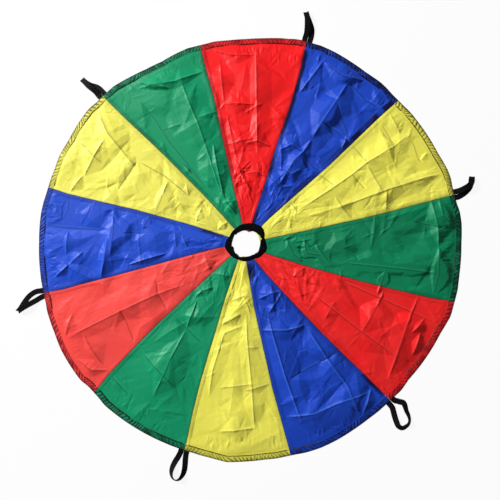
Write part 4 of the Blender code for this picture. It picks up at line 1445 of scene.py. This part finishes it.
studio = {
    "floorSize": 14,
    "floorLevel": -0.0004,
    "floorShade": 0.92,
    "floorGlow": 0.9,
    "grey": 0.12,
    # (place, aim, size, watts)
    "lights": [
        ((-7.2, 4.6, 4.5), (0, 0, 0), 2.4, 1400),
        ((-1.7, 1.0, 3.9), (-0.2, 0.1, 0), 1.6, 22),
    ],
}
camera = {
    "distance": 2.4,
    "turn": -54.2,
    "tilt": 4.53,
    "roll": 1.6,
    "lens": 39.9,
    "shift": (0.0084, -0.0132),
}


def makeFloor():
    mesh = bpy.data.meshes.new("floor")
    half = studio["floorSize"] / 2
    corners = [(-half, -half, 0), (half, -half, 0), (half, half, 0), (-half, half, 0)]
    mesh.from_pydata(corners, [], [(0, 1, 2, 3)])
    floor = linked("floor", mesh)
    floor.location.z = studio["floorLevel"]
    material = bpy.data.materials.new("floor_white")
    material.use_nodes = True
    mesh.materials.append(material)
    tree = Tree(material.node_tree)
    matte = tree.node("ShaderNodeBsdfDiffuse", {}, {0: (*[studio["floorShade"]] * 3, 1)})
    glow = tree.node("ShaderNodeEmission", {}, {0: (1, 1, 1, 1), 1: 1.0})
    seen = tree.node("ShaderNodeLightPath", {}, {})
    mixed = tree.node("ShaderNodeMixShader", {}, {0: seen * studio["floorGlow"], 1: matte, 2: glow})
    tree.node("ShaderNodeOutputMaterial", {}, {0: mixed})
    return floor


def makeLamp(number, place, aim, size, watts):
    data = bpy.data.lights.new("soft_light_" + str(number), "AREA")
    data.energy, data.size = watts, size
    lamp = linked(data.name, data)
    lamp.location = place
    lamp.rotation_euler = (Vector(aim) - Vector(place)).to_track_quat("-Z", "Y").to_euler()
    return lamp


def makeWorld():
    # Dim and grey for the object, white for the camera
    world = bpy.data.worlds.new("pale_room")
    world.use_nodes = True
    tree = Tree(world.node_tree)
    shades = (studio["grey"], 1)
    dim, white = (tree.node("ShaderNodeBackground", {}, {0: (*[shade] * 3, 1), 1: 1.0}) for shade in shades)
    seen = tree.node("ShaderNodeLightPath", {}, {})
    mixed = tree.node("ShaderNodeMixShader", {}, {0: seen, 1: dim, 2: white})
    tree.node("ShaderNodeOutputWorld", {}, {0: mixed})
    bpy.context.scene.world = world


def makeCamera():
    turn, tilt, roll = (math.radians(camera[key]) for key in ("turn", "tilt", "roll"))
    back = Vector((math.cos(turn) * math.sin(tilt), math.sin(turn) * math.sin(tilt), math.cos(tilt)))
    right = Vector((-math.sin(roll), math.cos(roll), 0)).cross(back).normalized()
    facing = Matrix((right, back.cross(right), back)).transposed().to_4x4()
    data = bpy.data.cameras.new("camera")
    data.lens = camera["lens"]
    data.shift_x, data.shift_y = camera["shift"]
    eye = linked("camera", data)
    eye.matrix_world = Matrix.Translation(back * camera["distance"]) @ facing
    bpy.context.scene.camera = eye


makeFloor()
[makeLamp(number, *row) for number, row in enumerate(studio["lights"])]
makeWorld()
makeCamera()
bpy.context.scene.view_settings.view_transform = "Standard"
